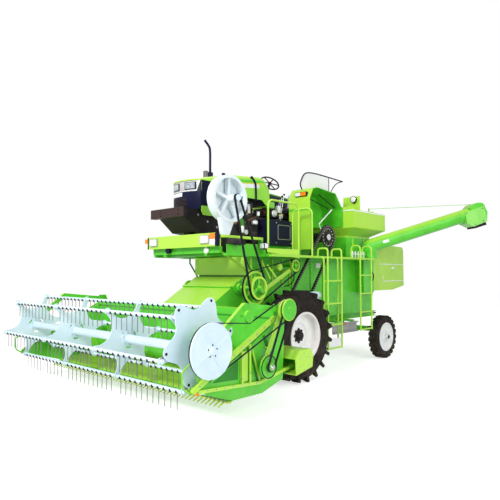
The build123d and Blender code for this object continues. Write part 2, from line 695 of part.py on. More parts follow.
bonnet_top = [
    (-1300, 3450),
    (-700, 3570),
    (0, 3630),
    (160, 3600),
    (260, 3480),
    (280, 3100),
    (180, 3110),
    (60, 3200),
    (-900, 3200),
    (-1060, 3100),
]
bonnet_side = [(-1425, 3100), (-1425, 3200), (NOSE_Y - 10, 3200), (NOSE_Y - 10, 3375), *bonnet_top]
bonnet_hollow = [(-1440, 3100), (-1440, 3390), *bonnet_top]


def hood_shape(side_points, half, inset, corner):
    """A shape of the bonnet between its two sides, with rounded upper edges."""
    slab(side_points, -half, half, inset=inset)
    upper = [e for e in edges() if e.center().Z > 3380 and abs(abs(e.center().X) - half) < 1]
    fillet(upper, corner)


with BuildPart() as bonnet_inside:
    hood_shape(bonnet_hollow, BONNET_HALF - BONNET_WALL, BONNET_WALL, BONNET_ROUND - BONNET_WALL)
    block((-348, 348), (-1428, 240), (3090, 3230))
with BuildPart() as bonnet:
    hood_shape(bonnet_side, BONNET_HALF, 0, BONNET_ROUND)
    bowed(0, -BONNET_HALF - 20, BONNET_HALF + 20, 400, 3000, 3700, Mode.INTERSECT)
    add(bonnet_inside.part, mode=Mode.SUBTRACT)
    with Locations((0, -920, 3520)):
        Cylinder(34, 200, mode=Mode.SUBTRACT)
    wedge = [(-1440, 2950), (-1440, 2860), (-1400, 2800), (-1040, 2790), (-1110, 3000), (-1180, 2960)]
    for side in (-1, 1):
        slab(wedge, *sorted((side * 350, side * 364)))
keep(bonnet.part, "bonnet")

with BuildPart() as grille:
    bowed(0, -GRILLE_HALF, GRILLE_HALF, -1100, 2890, 3100)
    bowed(0, -GRILLE_HALF, GRILLE_HALF, -1425, 3100, 3200)
    for z in (2920, 2955, 2990, 3025, 3060):
        bowed(8, -300, 120, -1440, z, z + 16)
keep(grille.part, "grille")

with BuildPart() as exhaust:
    rod((0, -920, 3150), (0, -920, 3600), 30)
    rod((0, -920, 3560), (0, -920, 3900), 45)
    pipe([(0, -920, 3880), (0, -920, 4060), (60, -1000, 4200)], 22, 60)
keep(exhaust.part, "exhaust")

fender_side = [(900, 2800), (880, 3300), (980, 3480), (1120, 3520), (1780, 3470), (2020, 3180)]
with BuildPart() as fenders:
    for side in (-1, 1):
        x0, x1 = sorted((side * FENDER_IN, side * FENDER_OUT))
        slab(fender_side + [(2050, 2800)], x0, x1)
        under = [
            (y + (FENDER_WALL if y < 1500 else -FENDER_WALL), z - FENDER_WALL)
            for y, z in fender_side[1:]
        ]
        x0, x1 = sorted((side * (FENDER_IN + FENDER_WALL), side * (FENDER_OUT + 10)))
        slab([(914, 2790)] + under + [(2036, 2790)], x0, x1, Mode.SUBTRACT)
        x0, x1 = sorted((side * 450, side * FENDER_OUT))
        block((x0, x1), (900, 900 + FENDER_WALL), (2300, 2800))
        x0, x1 = sorted((side * FENDER_IN, side * (FENDER_IN + FENDER_WALL)))
        block((x0, x1), (1340, 1460), (2660, 2800))
keep(fenders.part, "fenders")

# Black tube frame round the driver's place
with BuildPart() as driver_guard:
    guard_x, guard_r = 600, 14
    for side in (-1, 1):
        x = side * guard_x
        pipe([(x, 1000, 3490.2), (x, 1000, 3740), (x, 1300, 3860), (x, 2440, 3830)], guard_r, 90)
        rod((x, 1900, 3342.2), (x, 1900, 3844), guard_r - 2)
    rod((-guard_x, 2428, 3830.3), (guard_x, 2428, 3830.3), guard_r - 3)
keep(driver_guard.part, "driver_guard")

with BuildPart() as seat:
    block((-230, 230), (1050, 1450), (3050, 3170))
    slab([(1440, 3100), (1500, 3540), (1560, 3530), (1530, 3100)], -220, 220)
    block((-120, 120), (1210, 1440), (3000, 3050))
    for side in (-1, 1):
        block(sorted((side * 230, side * 270)), (1200, 1500), (3230, 3260))
        block(sorted((side * 230, side * 262)), (1440, 1480), (3100, 3230))
keep(seat.part, "seat")

with BuildPart() as steering_wheel:
    with Locations(Plane(origin=(0, 700, 3640), z_dir=(0, 1, 1.6)).location):
        Torus(190, 14)
        for turn in (0, 60, 120):
            with Locations(Location((0, 0, 0), (0, 0, turn))):
                Box(380, 20, 12)
        Cylinder(34, 30)
    rod((0, 430, 2912), (0, 700, 3640), 22)
    block((-40, 40), (390, 470), (2900, 2930))
keep(steering_wheel.part, "steering_wheel")

# Big spoked belt wheel in its ring guard on a tapered stand
with BuildPart() as belt_wheel:
    spoked(WHEEL_Y, WHEEL_Z, WHEEL_R, 50, 60, 5, 26, WHEEL_X0, WHEEL_X1)
    disc(WHEEL_Y, WHEEL_Z, WHEEL_R - 20, WHEEL_X0, WHEEL_X0 + 8)
    disc(WHEEL_Y, WHEEL_Z, 60, 860, 1040)
    foot = [(-1560, 2740), (-1495, SIDE_BEAM_Z), (-1360, SIDE_BEAM_Z), (-1240, 2705), (-1345, 2660)]
    slab(foot, 850, 930)
keep(belt_wheel.part, "belt_wheel")

# Pulleys and belts of the threshing drive on the left side
with BuildPart() as drive_pulleys:
    spoked(LIFT_Y, LIFT_Z, BIG_PULLEY_R, 36, 60, 6, 22, 980, 1020)
    spoked(LIFT_Y, LIFT_Z, FRONT_PULLEY_R, 34, 45, 3, 24, 1050, 1110)
    spoked(SMALL_Y, SMALL_Z, SMALL_R, 24, 34, 4, 14, 960, 1010)
    disc(WHEEL_Y, WHEEL_Z, WHEEL_PULLEY_R, 1040, 1110)
    disc(LIFT_Y, LIFT_Z, 30, FEEDER_HALF + 90, 1150)
    disc(SMALL_Y, SMALL_Z, 30, BODY_HALF, 1010)
keep(drive_pulleys.part, "drive_pulleys")
with BuildPart() as drive_belts:
    engine_run = [(LIFT_Y, LIFT_Z, FRONT_PULLEY_R + 0.3), (WHEEL_Y, WHEEL_Z, WHEEL_PULLEY_R + 0.3)]
    belt(engine_run, 12, 1060, 1100)
    belt([(LIFT_Y, LIFT_Z, BIG_PULLEY_R + 0.3), (SMALL_Y, SMALL_Z, SMALL_R + 0.3)], 12, 985, 1015)
keep(drive_belts.part, "drive_belts")

# Drive chains with their links, and the top sprockets
chain_inner = [
    (0, FRONT_Z, LOW_SPROCKET_R + CHAIN_GAP),
    (TOP_Y, TOP_Z, TOP_SPROCKET_R + CHAIN_GAP),
]
chain_middle = [(y, z, r + CHAIN_THICK / 2) for y, z, r in chain_inner]
with BuildLine(Plane.YZ) as chain_line:
    loop_line(chain_middle)
chain_wire = chain_line.wire()
with BuildPart() as chain:
    belt(
        [(y, z, r + CHAIN_THICK / 3) for y, z, r in chain_inner],
        CHAIN_THICK / 3,
        CHAIN_X - CHAIN_WIDE / 3,
        CHAIN_X + CHAIN_WIDE / 3,
    )
    link_step = chain_wire.length / CHAIN_LINKS
    for k in range(CHAIN_LINKS):
        spot = chain_wire.position_at(k * link_step, position_mode=PositionMode.LENGTH)
        ahead = chain_wire.tangent_at(k * link_step, position_mode=PositionMode.LENGTH)
        place = Plane(origin=spot + Vector(CHAIN_X, 0, 0), x_dir=(1, 0, 0), z_dir=ahead)
        with Locations(place.location):
            Box(CHAIN_WIDE, CHAIN_THICK, link_step * 0.58)
with BuildPart() as drive_chains:
    add(chain.part)
    add(mirror(chain.part, about=Plane.YZ))
keep(drive_chains.part, "drive_chains")
with BuildPart() as top_sprocket:
    disc(TOP_Y, TOP_Z, TOP_SPROCKET_R, CHAIN_X - SPROCKET_THICK / 2, CHAIN_X + SPROCKET_THICK / 2)
    disc(TOP_Y, TOP_Z, 80, CHAIN_X - 40, CHAIN_X + 30)
    disc(TOP_Y, TOP_Z, 40, 790, CHAIN_X - 39)
    for k in range(8):
        turn = radians(45 * k)
        y, z = TOP_Y + 132 * cos(turn), TOP_Z + 132 * sin(turn)
        disc(y, z, 26, CHAIN_X - 20, CHAIN_X + 20, Mode.SUBTRACT)
keep(top_sprocket.part, "top_sprocket_left")
keep(mirror(top_sprocket.part, about=Plane.YZ), "top_sprocket_right")

# Ladders and handrails
LADDER_X, RAIL_X = 1215, 1300
with BuildPart() as ladders:
    for y in (810, 1270):
        pipe([(DECK_HALF, y, DECK_TOP - 25), (LADDER_X, y, DECK_TOP - 25), (LADDER_X, y, 460)], 17, 50)
        pipe([(1080, y, DECK_TOP), (1080, y, 2300), (RAIL_X, y, 2300), (RAIL_X, y, 440)], 17, 60)
    for z in (460, 890, 1280, 1700):
        block((LADDER_X - 10, RAIL_X + 10), (810, 1270), (z - 14, z + 14))
    for y in (2040, 2480):
        pipe([(1040, y, DECK_TOP), (1040, y, 2400), (1250, y, 2400), (1250, y, 690)], 17, 70)
    for z in (710, 1060, 1430, 1800):
        rod((1250, 2040, z), (1250, 2480, z), 14)
        block((1236, 1264), (2050, 2470), (z, z + 14))
keep(ladders.part, "ladders")

with BuildPart() as handrails:
    for x0, y0, x1, y1, top in (
        # start in plan, end in plan, top
        (1040, -560, 1040, 280, 3080),
        (640, 620, 1090, 620, 3040),
        (-1100, -500, -1100, 560, 3000),
        (-1100, 700, -1100, 1860, 3000),
    ):
        pipe([(x0, y0, DECK_TOP), (x0, y0, top), (x1, y1, top), (x1, y1, DECK_TOP)], 17, 110)
keep(handrails.part, "handrails")

# Unloading auger: fixed turret, swinging elbow, tube and spout box
along = (cos(radians(SPOUT_TURN)), sin(radians(SPOUT_TURN)))
rise = SPOUT_REACH * sin(radians(SPOUT_RISE)) / cos(radians(SPOUT_RISE))
tip = (SPOUT_X + SPOUT_REACH * along[0], SPOUT_Y + SPOUT_REACH * along[1], SPOUT_Z + rise)
with BuildPart() as spout_box:
    with BuildSketch(Plane.XZ) as box_side:
        Polygon(*SPOUT_SIDE, align=None)
    extrude(box_side.sketch, amount=160, both=True)
with BuildPart() as unload_auger:
    with Locations((SPOUT_X, SPOUT_Y, (2270.5 + SPOUT_Z) / 2)):
        Cylinder(SPOUT_TUBE_R, SPOUT_Z - 2270.5)
    with Locations((SPOUT_X, SPOUT_Y, SPOUT_Z)):
        Sphere(SPOUT_TUBE_R)
    rod((SPOUT_X, SPOUT_Y, SPOUT_Z), tip, SPOUT_TUBE_R)
    spout_place = Location(tip, (0, 0, SPOUT_TURN)) * Location((0, 0, 0), (0, -SPOUT_RISE, 0))
    add(spout_box.part.moved(spout_place))
    rod((SPOUT_X, SPOUT_Y, STAY_Z), (tip[0], tip[1], tip[2] + 190), STAY_R)
    with Locations((SPOUT_X, SPOUT_Y, STAY_Z)):
        Cylinder(STAY_RING_R, 10)
        Cylinder(STAY_PIN_R + 0.5, 40, mode=Mode.SUBTRACT)
keep(unload_auger.part, "unload_auger")

# Header: feeder house, trough, end panels
with BuildPart() as feeder_house:
    slab(
        [
            (-700, 1780),
            (-1500, 1300),
            (-1753, 1150),
            (-1753, 430),
            (-1600, 430),
            (-650, 1230),
        ],
        -FEEDER_HALF,
        FEEDER_HALF,
    )
    for side in (-1, 1):
        x0, x1 = sorted((side * FEEDER_HALF, side * (FEEDER_HALF + 33)))
        disc(LIFT_Y, LIFT_Z, LIFT_PIN_R, x0, x1)
        for x in (LIFT_X - LIFT_CLEVIS, LIFT_X + LIFT_CLEVIS):
            x0, x1 = sorted((side * (x - 8), side * (x + 8)))
            block((x0, x1), (EYE_Y - 50, EYE_Y + 50), (EYE_Z - 40, EYE_Z + 180))
        x0, x1 = sorted((side * (LIFT_X - LIFT_CLEVIS), side * (LIFT_X + LIFT_CLEVIS)))
        disc(EYE_Y, EYE_Z, EYE_PIN_R, x0, x1)
    slab([(-983, 1610), (-1017, 1590), (-1031, 1614), (-997, 1634)], -FEEDER_HALF, FEEDER_HALF)
keep(feeder_house.part, "feeder_house")

back = AUGER_Y + TROUGH_R
outer_back = back + TROUGH_WALL
with BuildPart() as header_trough:
    with BuildSketch(Plane.YZ.offset(-HEADER_HALF)) as section:
        with BuildLine():
            Polyline((outer_back, AUGER_Z), (outer_back, TROUGH_TOP), (back, TROUGH_TOP))
            Line((back, TROUGH_TOP), (back, AUGER_Z))
            CenterArc((AUGER_Y, AUGER_Z), TROUGH_R, 0, -90)
            Polyline(
                (AUGER_Y, AUGER_Z - TROUGH_R),
                (KNIFE_Y, KNIFE_Z),
                (KNIFE_Y, KNIFE_Z - TROUGH_WALL),
                (AUGER_Y, AUGER_Z - TROUGH_R - TROUGH_WALL),
            )
            CenterArc((AUGER_Y, AUGER_Z), TROUGH_R + TROUGH_WALL, -90, 90)
        make_face()
    extrude(section.sketch, amount=2 * HEADER_HALF)
    block((-HEADER_HALF, HEADER_HALF), (-1800, -1700), (TROUGH_TOP, TROUGH_TOP + 100))
keep(header_trough.part, "header_trough")

guard_box = [(-1560, 700), (-1470, 800), (-1210, 800), (-1160, 700), (-1180, 550), (-1540, 475)]
with BuildPart() as header_ends:
    slab(guard_box, 1760, GUARD_OUT)
    hollow = [(-1700, 700), (-1560, 700)] + guard_box[1:5] + [(-1540, 475), (-1700, 475)]
    slab(hollow, 1760 + 14, GUARD_OUT - 14, Mode.SUBTRACT, inset=14)
    for side in (-1, 1):
        x0, x1 = sorted((side * HEADER_HALF, side * (HEADER_HALF + END_THICK)))
        slab(
            [
                (-3250, 480),
                (-2500, 870),
                (-1800, 1250),
                (-1780, 1430),
                (-1640, 1430),
                (-1560, 1250),
                (-1600, 420),
                (-1680, 400),
                (-2020, 300),
                (-2560, 300),
                (-3100, 470),
            ],
            x0,
            x1,
        )
        x0, x1 = sorted((side * (HEADER_HALF + END_THICK), side * (HEADER_HALF + END_THICK + 36)))
        link((-3200, 520), (-1800, 1250), 30, x0, x1)
        link((-3120, 500), (-2100, 450), 20, x0, x1)
        link((-2100, 450), (-1620, 540), 20, x0, x1)
        for y, low, high in ((-2420, 480, 880), (-2280, 480, 950)):
            block((x0, x1), (y - 14, y + 14), (low, high))
        if side > 0:
            link((-1620, 540), (-1195, 600), 20, x0, x1)
        x = side * (HEADER_HALF + END_THICK / 2)
        tip_hoop = ((-3235, 500), (-3330, 560), (-3350, 740), (-3190, 850), (-3100, 560))
        pipe([(x, y, z) for y, z in tip_hoop], 11, 50)
        x0, x1 = sorted((side * (HEADER_HALF + END_THICK), side * (ARM_X1 + 8)))
        disc(PIVOT_Y, PIVOT_Z, 20, x0, x1)
        disc(AUGER_Y, AUGER_Z, REEL_SHAFT_R + 0.5, *sorted((side * 2160, side * 2260)), Mode.SUBTRACT)
keep(header_ends.part, "header_ends")

with BuildPart() as cutter_bar:
    block((-HEADER_HALF, HEADER_HALF), (KNIFE_Y - 60, KNIFE_Y), (KNIFE_Z - 30, KNIFE_Z - 12))
    count = int(2 * HEADER_HALF / GUARD_PITCH)
    tilt = radians(GUARD_TILT)
    root = (0, KNIFE_Y - 56, KNIFE_Z - 21)
    with BuildSketch(Plane(origin=root, x_dir=(1, 0, 0), z_dir=(0, -sin(tilt), cos(tilt)))) as guards:
        with GridLocations(GUARD_PITCH, 1, count, 1):
            Polygon((-13, 0), (13, 0), (3, -GUARD_LONG), (-3, -GUARD_LONG), align=None)
    extrude(guards.sketch, amount=8, both=True)
keep(cutter_bar.part, "cutter_bar")

with BuildPart() as knife:
    half = HEADER_HALF - 50
    block((-half, half), (KNIFE_Y - 50, KNIFE_Y - 20), (KNIFE_Z - 11.7, KNIFE_Z - 6))
keep(knife.part, "knife")

with BuildPart() as header_pulleys:
    disc(PIVOT_Y, PIVOT_Z, REEL_PULLEY_R, DISC_X0, DISC_X1)
    disc(PIVOT_Y, PIVOT_Z, SMALL_PULLEY_R, DISC_X1, DISC_X1 + 40)
    disc(PIVOT_Y, PIVOT_Z, COVER_R, DISC_X1 + 40, DISC_X1 + 50)
    disc(PIVOT_Y, PIVOT_Z, 16, ARM_X1 + 8, DISC_X0)
keep(header_pulleys.part, "header_pulleys")
with BuildPart() as header_belts:
    wheels = [(AUGER_Y, AUGER_Z, AUGER_PULLEY_R + 0.3), (PIVOT_Y, PIVOT_Z, SMALL_PULLEY_R + 0.3)]
    belt(wheels, 12, DISC_X1 + 8, DISC_X1 + 34)
keep(header_belts.part, "header_belts")

with BuildPart() as header_auger:
    disc(AUGER_Y, AUGER_Z, AUGER_TUBE_R, -HEADER_HALF + 8, HEADER_HALF - 8)
    disc(AUGER_Y, AUGER_Z, REEL_SHAFT_R, -HEADER_HALF - 60, DISC_X1)
    disc(AUGER_Y, AUGER_Z, AUGER_DISC_R, DISC_X0, DISC_X0 + 30)
    disc(AUGER_Y, AUGER_Z, AUGER_PULLEY_R, DISC_X1, DISC_X1 + 40)
    for side in (-1, 1):
        start = (side * (HEADER_HALF - 12), AUGER_Y, AUGER_Z)
        with BuildLine() as helix:
            Helix(
                FLIGHT_PITCH,
                HEADER_HALF - 12 - FLIGHT_INNER_END,
                AUGER_TUBE_R,
                center=start,
                direction=(-side, 0, 0),
                lefthand=side > 0,
            )
        foot = helix.line @ 0
        outward = (foot - Vector(*start)).normalized()
        with BuildSketch(Plane(origin=foot, x_dir=outward, z_dir=helix.line % 0)) as flight:
            with Locations(((AUGER_R - AUGER_TUBE_R - 3) / 2, 0)):
                Rectangle(AUGER_R - AUGER_TUBE_R + 3, FLIGHT_THICK)
        sweep(flight.sketch, path=helix.line, is_frenet=True)
    for k in range(10):
        turn = radians(137.5 * k)
        x = (k - 4.5) * 120
        reach = AUGER_TUBE_R + FINGER_OUT
        end = (x, AUGER_Y + reach * cos(turn), AUGER_Z + reach * sin(turn))
        rod((x, AUGER_Y, AUGER_Z), end, FINGER_R)
keep(header_auger.part, "header_auger")

# Reel
with BuildPart() as reel_arms:
    for side in (-1, 1):
        x0, x1 = sorted((side * ARM_X0, side * ARM_X1))
        link((PIVOT_Y, PIVOT_Z), (-2440, 1440), 36, x0, x1)
        link((-2440, 1440), (REEL_Y, REEL_Z), 36, x0, x1)
        link((REEL_Y, REEL_Z), (REEL_Y + 40, REEL_Z + 40), 46, x0, x1)
        disc(PIVOT_Y, PIVOT_Z, 20.5, x0, x1, Mode.SUBTRACT)
    hub_y, hub_z = REEL_Y + CRANK[0], REEL_Z + CRANK[1]
    disc(hub_y, hub_z, ECCENTRIC_HUB_R, ECCENTRIC_X - 4, ARM_X0)
    disc(REEL_Y, REEL_Z, REEL_SHAFT_R + 0.5, -2400, 2400, Mode.SUBTRACT)
    link((-2440, 1440), (-2410, 1310), 40, ARM_X1, ARM_X1 + 12)
    disc(-2410, 1310, 75, ARM_X1 + 12, DISC_X1 - 16)
keep(reel_arms.part, "reel_arms")

with BuildPart() as reel_belt:
    belt(
        [
            (REEL_Y, REEL_Z, DISC_R - 20 + RUNNING_GAP),
            (PIVOT_Y, PIVOT_Z, REEL_PULLEY_R + RUNNING_GAP),
            (-2410, 1310, -75.3 - 12),
        ],
        12,
        DISC_X0 + 8,
        DISC_X0 + 26,
    )
keep(reel_belt.part, "reel_belt")

with BuildPart() as reel_core:
    disc(REEL_Y, REEL_Z, REEL_TUBE_R, STARS_X[0], STARS_X[-1] + STAR_THICK)
    disc(REEL_Y, REEL_Z, REEL_SHAFT_R, -ARM_X1, DISC_X0 + 10)
    for x in STARS_X:
        with BuildSketch(Plane.YZ.offset(x)) as star:
            with BuildLine():
                star_outline(REEL_Y, REEL_Z, BAT_CIRCLE_R, STAR_VALLEY_R, 42)
            make_face()
            with Locations((REEL_Y, REEL_Z)):
                with PolarLocations(BAT_CIRCLE_R, BATS, start_angle=BAT_START):
                    Circle(BAT_R + 0.5, mode=Mode.SUBTRACT)
                with PolarLocations(REEL_TUBE_R + 52, STAR_HOLES, start_angle=BAT_START + 20):
                    SlotCenterToCenter(46, 36, rotation=90, mode=Mode.SUBTRACT)
        extrude(star.sketch, amount=STAR_THICK)
    disc(REEL_Y, REEL_Z, DISC_R - 20, DISC_X0, DISC_X1 - 12)
    disc(REEL_Y, REEL_Z, DISC_R, DISC_X1 - 12, DISC_X1)
keep(reel_core.part, "reel_core")

with BuildPart() as eccentric_star:
    with BuildSketch(Plane.YZ.offset(ECCENTRIC_X)) as star:
        with BuildLine():
            star_outline(hub_y, hub_z, BAT_CIRCLE_R, STAR_VALLEY_R, 36)
        make_face()
        with Locations((hub_y, hub_z)):
            Circle(ECCENTRIC_HUB_R + 0.5, mode=Mode.SUBTRACT)
            with PolarLocations(BAT_CIRCLE_R, BATS, start_angle=BAT_START):
                Circle(12.5, mode=Mode.SUBTRACT)
    extrude(star.sketch, amount=STAR_THICK)
keep(eccentric_star.part, "eccentric_star")

for k in range(BATS):
    turn = radians(BAT_START + k * 360 / BATS)
    y, z = REEL_Y + BAT_CIRCLE_R * cos(turn), REEL_Z + BAT_CIRCLE_R * sin(turn)
    with BuildPart() as bat:
        disc(y, z, BAT_R, STARS_X[0] - 20, CRANK_X)
        link((y, z), (y + CRANK[0], z + CRANK[1]), 20, CRANK_X, CRANK_X + 14)
        disc(y + CRANK[0], z + CRANK[1], 12, CRANK_X + 14, ECCENTRIC_X + STAR_THICK)
        with BuildSketch(Plane.XY.offset(z)) as tines:
            for bay in range(3):
                middle = (STARS_X[bay] + STARS_X[bay + 1]) / 2
                with Locations((middle, y)):
                    with GridLocations(TINE_PITCH, 1, 11, 1):
                        Rectangle(TINE, TINE)
        extrude(tines.sketch, amount=-TINE_LONG - BAT_R)
    keep(bat.part, f"reel_bat_{k + 1}")

# Lift cylinders under the feeder, rods part way out
reach = Vector(0, EYE_Y - BARREL_Y, EYE_Z - BARREL_Z).normalized()
barrel_eye = Vector(0, BARREL_Y, BARREL_Z)
rod_eye = Vector(0, EYE_Y, EYE_Z)
barrel_mouth = barrel_eye + reach * BARREL_LONG
with BuildPart() as lift_barrels:
    for side in (-1, 1):
        shift = Vector(side * LIFT_X, 0, 0)
        x = side * LIFT_X
        rod(tuple(barrel_eye + reach * 20 + shift), tuple(barrel_mouth + shift), 42)
        rod(
            tuple(barrel_mouth - reach * BORE_LONG + shift),
            tuple(barrel_mouth + reach * 5 + shift),
            22.5,
            Mode.SUBTRACT,
        )
        disc(BARREL_Y, BARREL_Z, 36, x - 24, x + 24)
        disc(BARREL_Y, BARREL_Z, 20.5, x - 50, x + 50, Mode.SUBTRACT)
        for cut in ((x - 50, x - 24), (x + 24, x + 50)):
            block(cut, (BARREL_Y - 45, BARREL_Y + 60), (BARREL_Z - 60, BARREL_Z + 60), Mode.SUBTRACT)
keep(lift_barrels.part, "lift_barrels")
with BuildPart() as lift_rods:
    for side in (-1, 1):
        shift = Vector(side * LIFT_X, 0, 0)
        x = side * LIFT_X
        rod(tuple(barrel_mouth - reach * ROD_INSIDE + shift), tuple(rod_eye + shift), 22)
        disc(EYE_Y, EYE_Z, EYE_R, x - 24, x + 24)
        disc(EYE_Y, EYE_Z, EYE_BORE_R, x - 50, x + 50, Mode.SUBTRACT)
keep(lift_rods.part, "lift_rods")

os.makedirs("parts", exist_ok=True)
for name, piece in nodes.items():
    moved = piece.moved(Location(ORIGIN))
    moved.label = name
    export_step(moved, f"parts/{name}.step")
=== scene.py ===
"""Looks for the combine harvester: finishes for every CAD node, and the small pieces round them.

Metres. Places are written as in the part: Y = 0 is the front axle, X = 0 the middle of the machine
and Z = 0 the ground. ORIGIN moves a finished piece into the frame.
"""

from math import acos, atan2, cos, hypot, pi, radians, sin, tan

import bmesh
import bpy
from mathutils import Matrix, Vector


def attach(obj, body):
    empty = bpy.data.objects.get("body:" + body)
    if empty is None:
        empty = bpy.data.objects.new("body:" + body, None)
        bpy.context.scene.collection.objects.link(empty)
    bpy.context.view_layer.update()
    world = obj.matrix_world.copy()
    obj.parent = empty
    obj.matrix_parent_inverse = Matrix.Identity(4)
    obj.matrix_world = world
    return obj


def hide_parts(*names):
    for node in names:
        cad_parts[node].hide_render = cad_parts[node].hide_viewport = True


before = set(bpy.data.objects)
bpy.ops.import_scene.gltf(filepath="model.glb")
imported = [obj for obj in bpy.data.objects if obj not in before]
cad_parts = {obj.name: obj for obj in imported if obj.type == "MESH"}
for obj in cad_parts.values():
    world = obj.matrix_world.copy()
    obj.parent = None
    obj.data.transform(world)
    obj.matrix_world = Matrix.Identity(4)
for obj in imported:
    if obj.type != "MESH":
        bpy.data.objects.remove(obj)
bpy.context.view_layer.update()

ORIGIN = Vector((-0.258, -0.692, 0))
LEFT, RIGHT, AHEAD, BACK, UP = (1, 0, 0), (-1, 0, 0), (0, -1, 0), (0, 1, 0), (0, 0, 1)

# Paint colours, linear
GREEN = (0.10, 0.60, 0.03)
GREEN_SHADE = (0.075, 0.47, 0.02)
LIME = (0.42, 0.74, 0.06)
DEEP_LIME = (0.34, 0.66, 0.05)
PALE_LIME = (0.62, 0.84, 0.2)
PALE_BLUE = (0.66, 0.80, 0.87)
WHITE = (0.85, 0.86, 0.85)
NAVY = (0.007, 0.008, 0.030)
BLACK = (0.012, 0.011, 0.013)
BLACK_SHADE = (0.022, 0.018, 0.018)
IRON = (0.035, 0.033, 0.036)
COPPER = (0.42, 0.17, 0.07)
RED = (0.55, 0.02, 0.02)
GREY = (0.30, 0.31, 0.31)
STEEL = (0.45, 0.45, 0.46)
DUST = (0.33, 0.27, 0.18)

# The slot for each finish that the pieces wear
FINISHES_BY_SLOT = (
    ("green_paint", "green_paint deep_green rail_paint spout_paint"),
    ("lime_paint", "bright_lime yellow_paint"),
    ("pale_blue_paint", "pale_paint"),
    ("white_paint", "white_paint"),
    ("black_casting", "cast_iron engine_iron"),
    ("black_paint", "black_paint navy_paint"),
    ("tyre", "tyre_rubber"),
    ("rubber", "belt_rubber"),
    ("steel", "bright_steel chain_steel copper_metal grey_metal silver_metal"),
    ("seat_cover", "dark_vinyl pale_vinyl"),
    ("lamp_glass", "lamp_glass headlamp_glass clear_sheet orange_lens red_lens"),
    ("dark_plastic", "brown_black clip_brown red_paint silver_plastic"),
)
SLOT_OF = {finish_name: slot for slot, names in FINISHES_BY_SLOT for finish_name in names.split()}


def wire(links, source, target):
    """Join two sockets."""
    links.new(source, target)


def math_node(tree, kind, first, second=None, third=None):
    """A maths node whose inputs are sockets or plain numbers."""
    node = tree.nodes.new("ShaderNodeMath")
    node.operation = kind
    for place, value in enumerate((first, second, third)):
        if value is None:
            continue
        if isinstance(value, (int, float)):
            node.inputs[place].default_value = value
        else:
            wire(tree.links, value, node.inputs[place])
    return node.outputs[0]


def blend_colour(tree, amount, low, high):
    """A colour between low and high, each a socket or a plain colour."""
    node = tree.nodes.new("ShaderNodeMix")
    node.data_type = "RGBA"
    wire(tree.links, amount, node.inputs["Factor"])
    for socket, value in ((node.inputs[6], low), (node.inputs[7], high)):
        if isinstance(value, tuple):
            socket.default_value = (*value, 1)
        else:
            wire(tree.links, value, socket)
    return node.outputs[2]


def noise(tree, place, scale, detail, rough=0.6):
    """The value of a noise pattern on the piece."""
    node = tree.nodes.new("ShaderNodeTexNoise")
    for socket, value in (("Scale", scale), ("Detail", detail), ("Roughness", rough)):
        node.inputs[socket].default_value = value
    wire(tree.links, place, node.inputs["Vector"])
    return node.outputs["Fac"]


def spread(tree, value, low, high, out_low=0.0, out_high=1.0):
    """A value stretched from low..high to out_low..out_high and held there."""
    node = tree.nodes.new("ShaderNodeMapRange")
    for socket, limit in (("From Min", low), ("From Max", high), ("To Min", out_low), ("To Max", out_high)):
        node.inputs[socket].default_value = limit
    wire(tree.links, value, node.inputs["Value"])
    return node.outputs["Result"]


def box_mask(tree, axes, limits):
    """One inside a box of (low, high) limits in vehicle metres, nought outside. None leaves an axis free."""
    mask = None
    for axis, pair in zip(axes, limits):
        if pair is None:
            continue
        inside = math_node(tree, "COMPARE", axis, (pair[0] + pair[1]) / 2, (pair[1] - pair[0]) / 2)
        mask = inside if mask is None else math_node(tree, "MULTIPLY", mask, inside)
    return mask


def ring_mask(tree, axes, y, z, low, high):
    """One between two radii about the X line through (y, z)."""
    side = math_node(tree, "SUBTRACT", axes[1], y)
    rise = math_node(tree, "SUBTRACT", axes[2], z)
    square = math_node(tree, "ADD", math_node(tree, "POWER", side, 2.0), math_node(tree, "POWER", rise, 2.0))
    radius = math_node(tree, "SQRT", square)
    return math_node(tree, "COMPARE", radius, (low + high) / 2, (high - low) / 2)


def vehicle_axes(tree, place):
    """The three vehicle coordinates of a point; X counts outwards from the middle."""
    moved = tree.nodes.new("ShaderNodeVectorMath")
    moved.operation = "SUBTRACT"
    moved.inputs[1].default_value = ORIGIN
    wire(tree.links, place, moved.inputs[0])
    parts = tree.nodes.new("ShaderNodeSeparateXYZ")
    wire(tree.links, moved.outputs[0], parts.inputs[0])
    return [math_node(tree, "ABSOLUTE", parts.outputs[0]), parts.outputs[1], parts.outputs[2]]


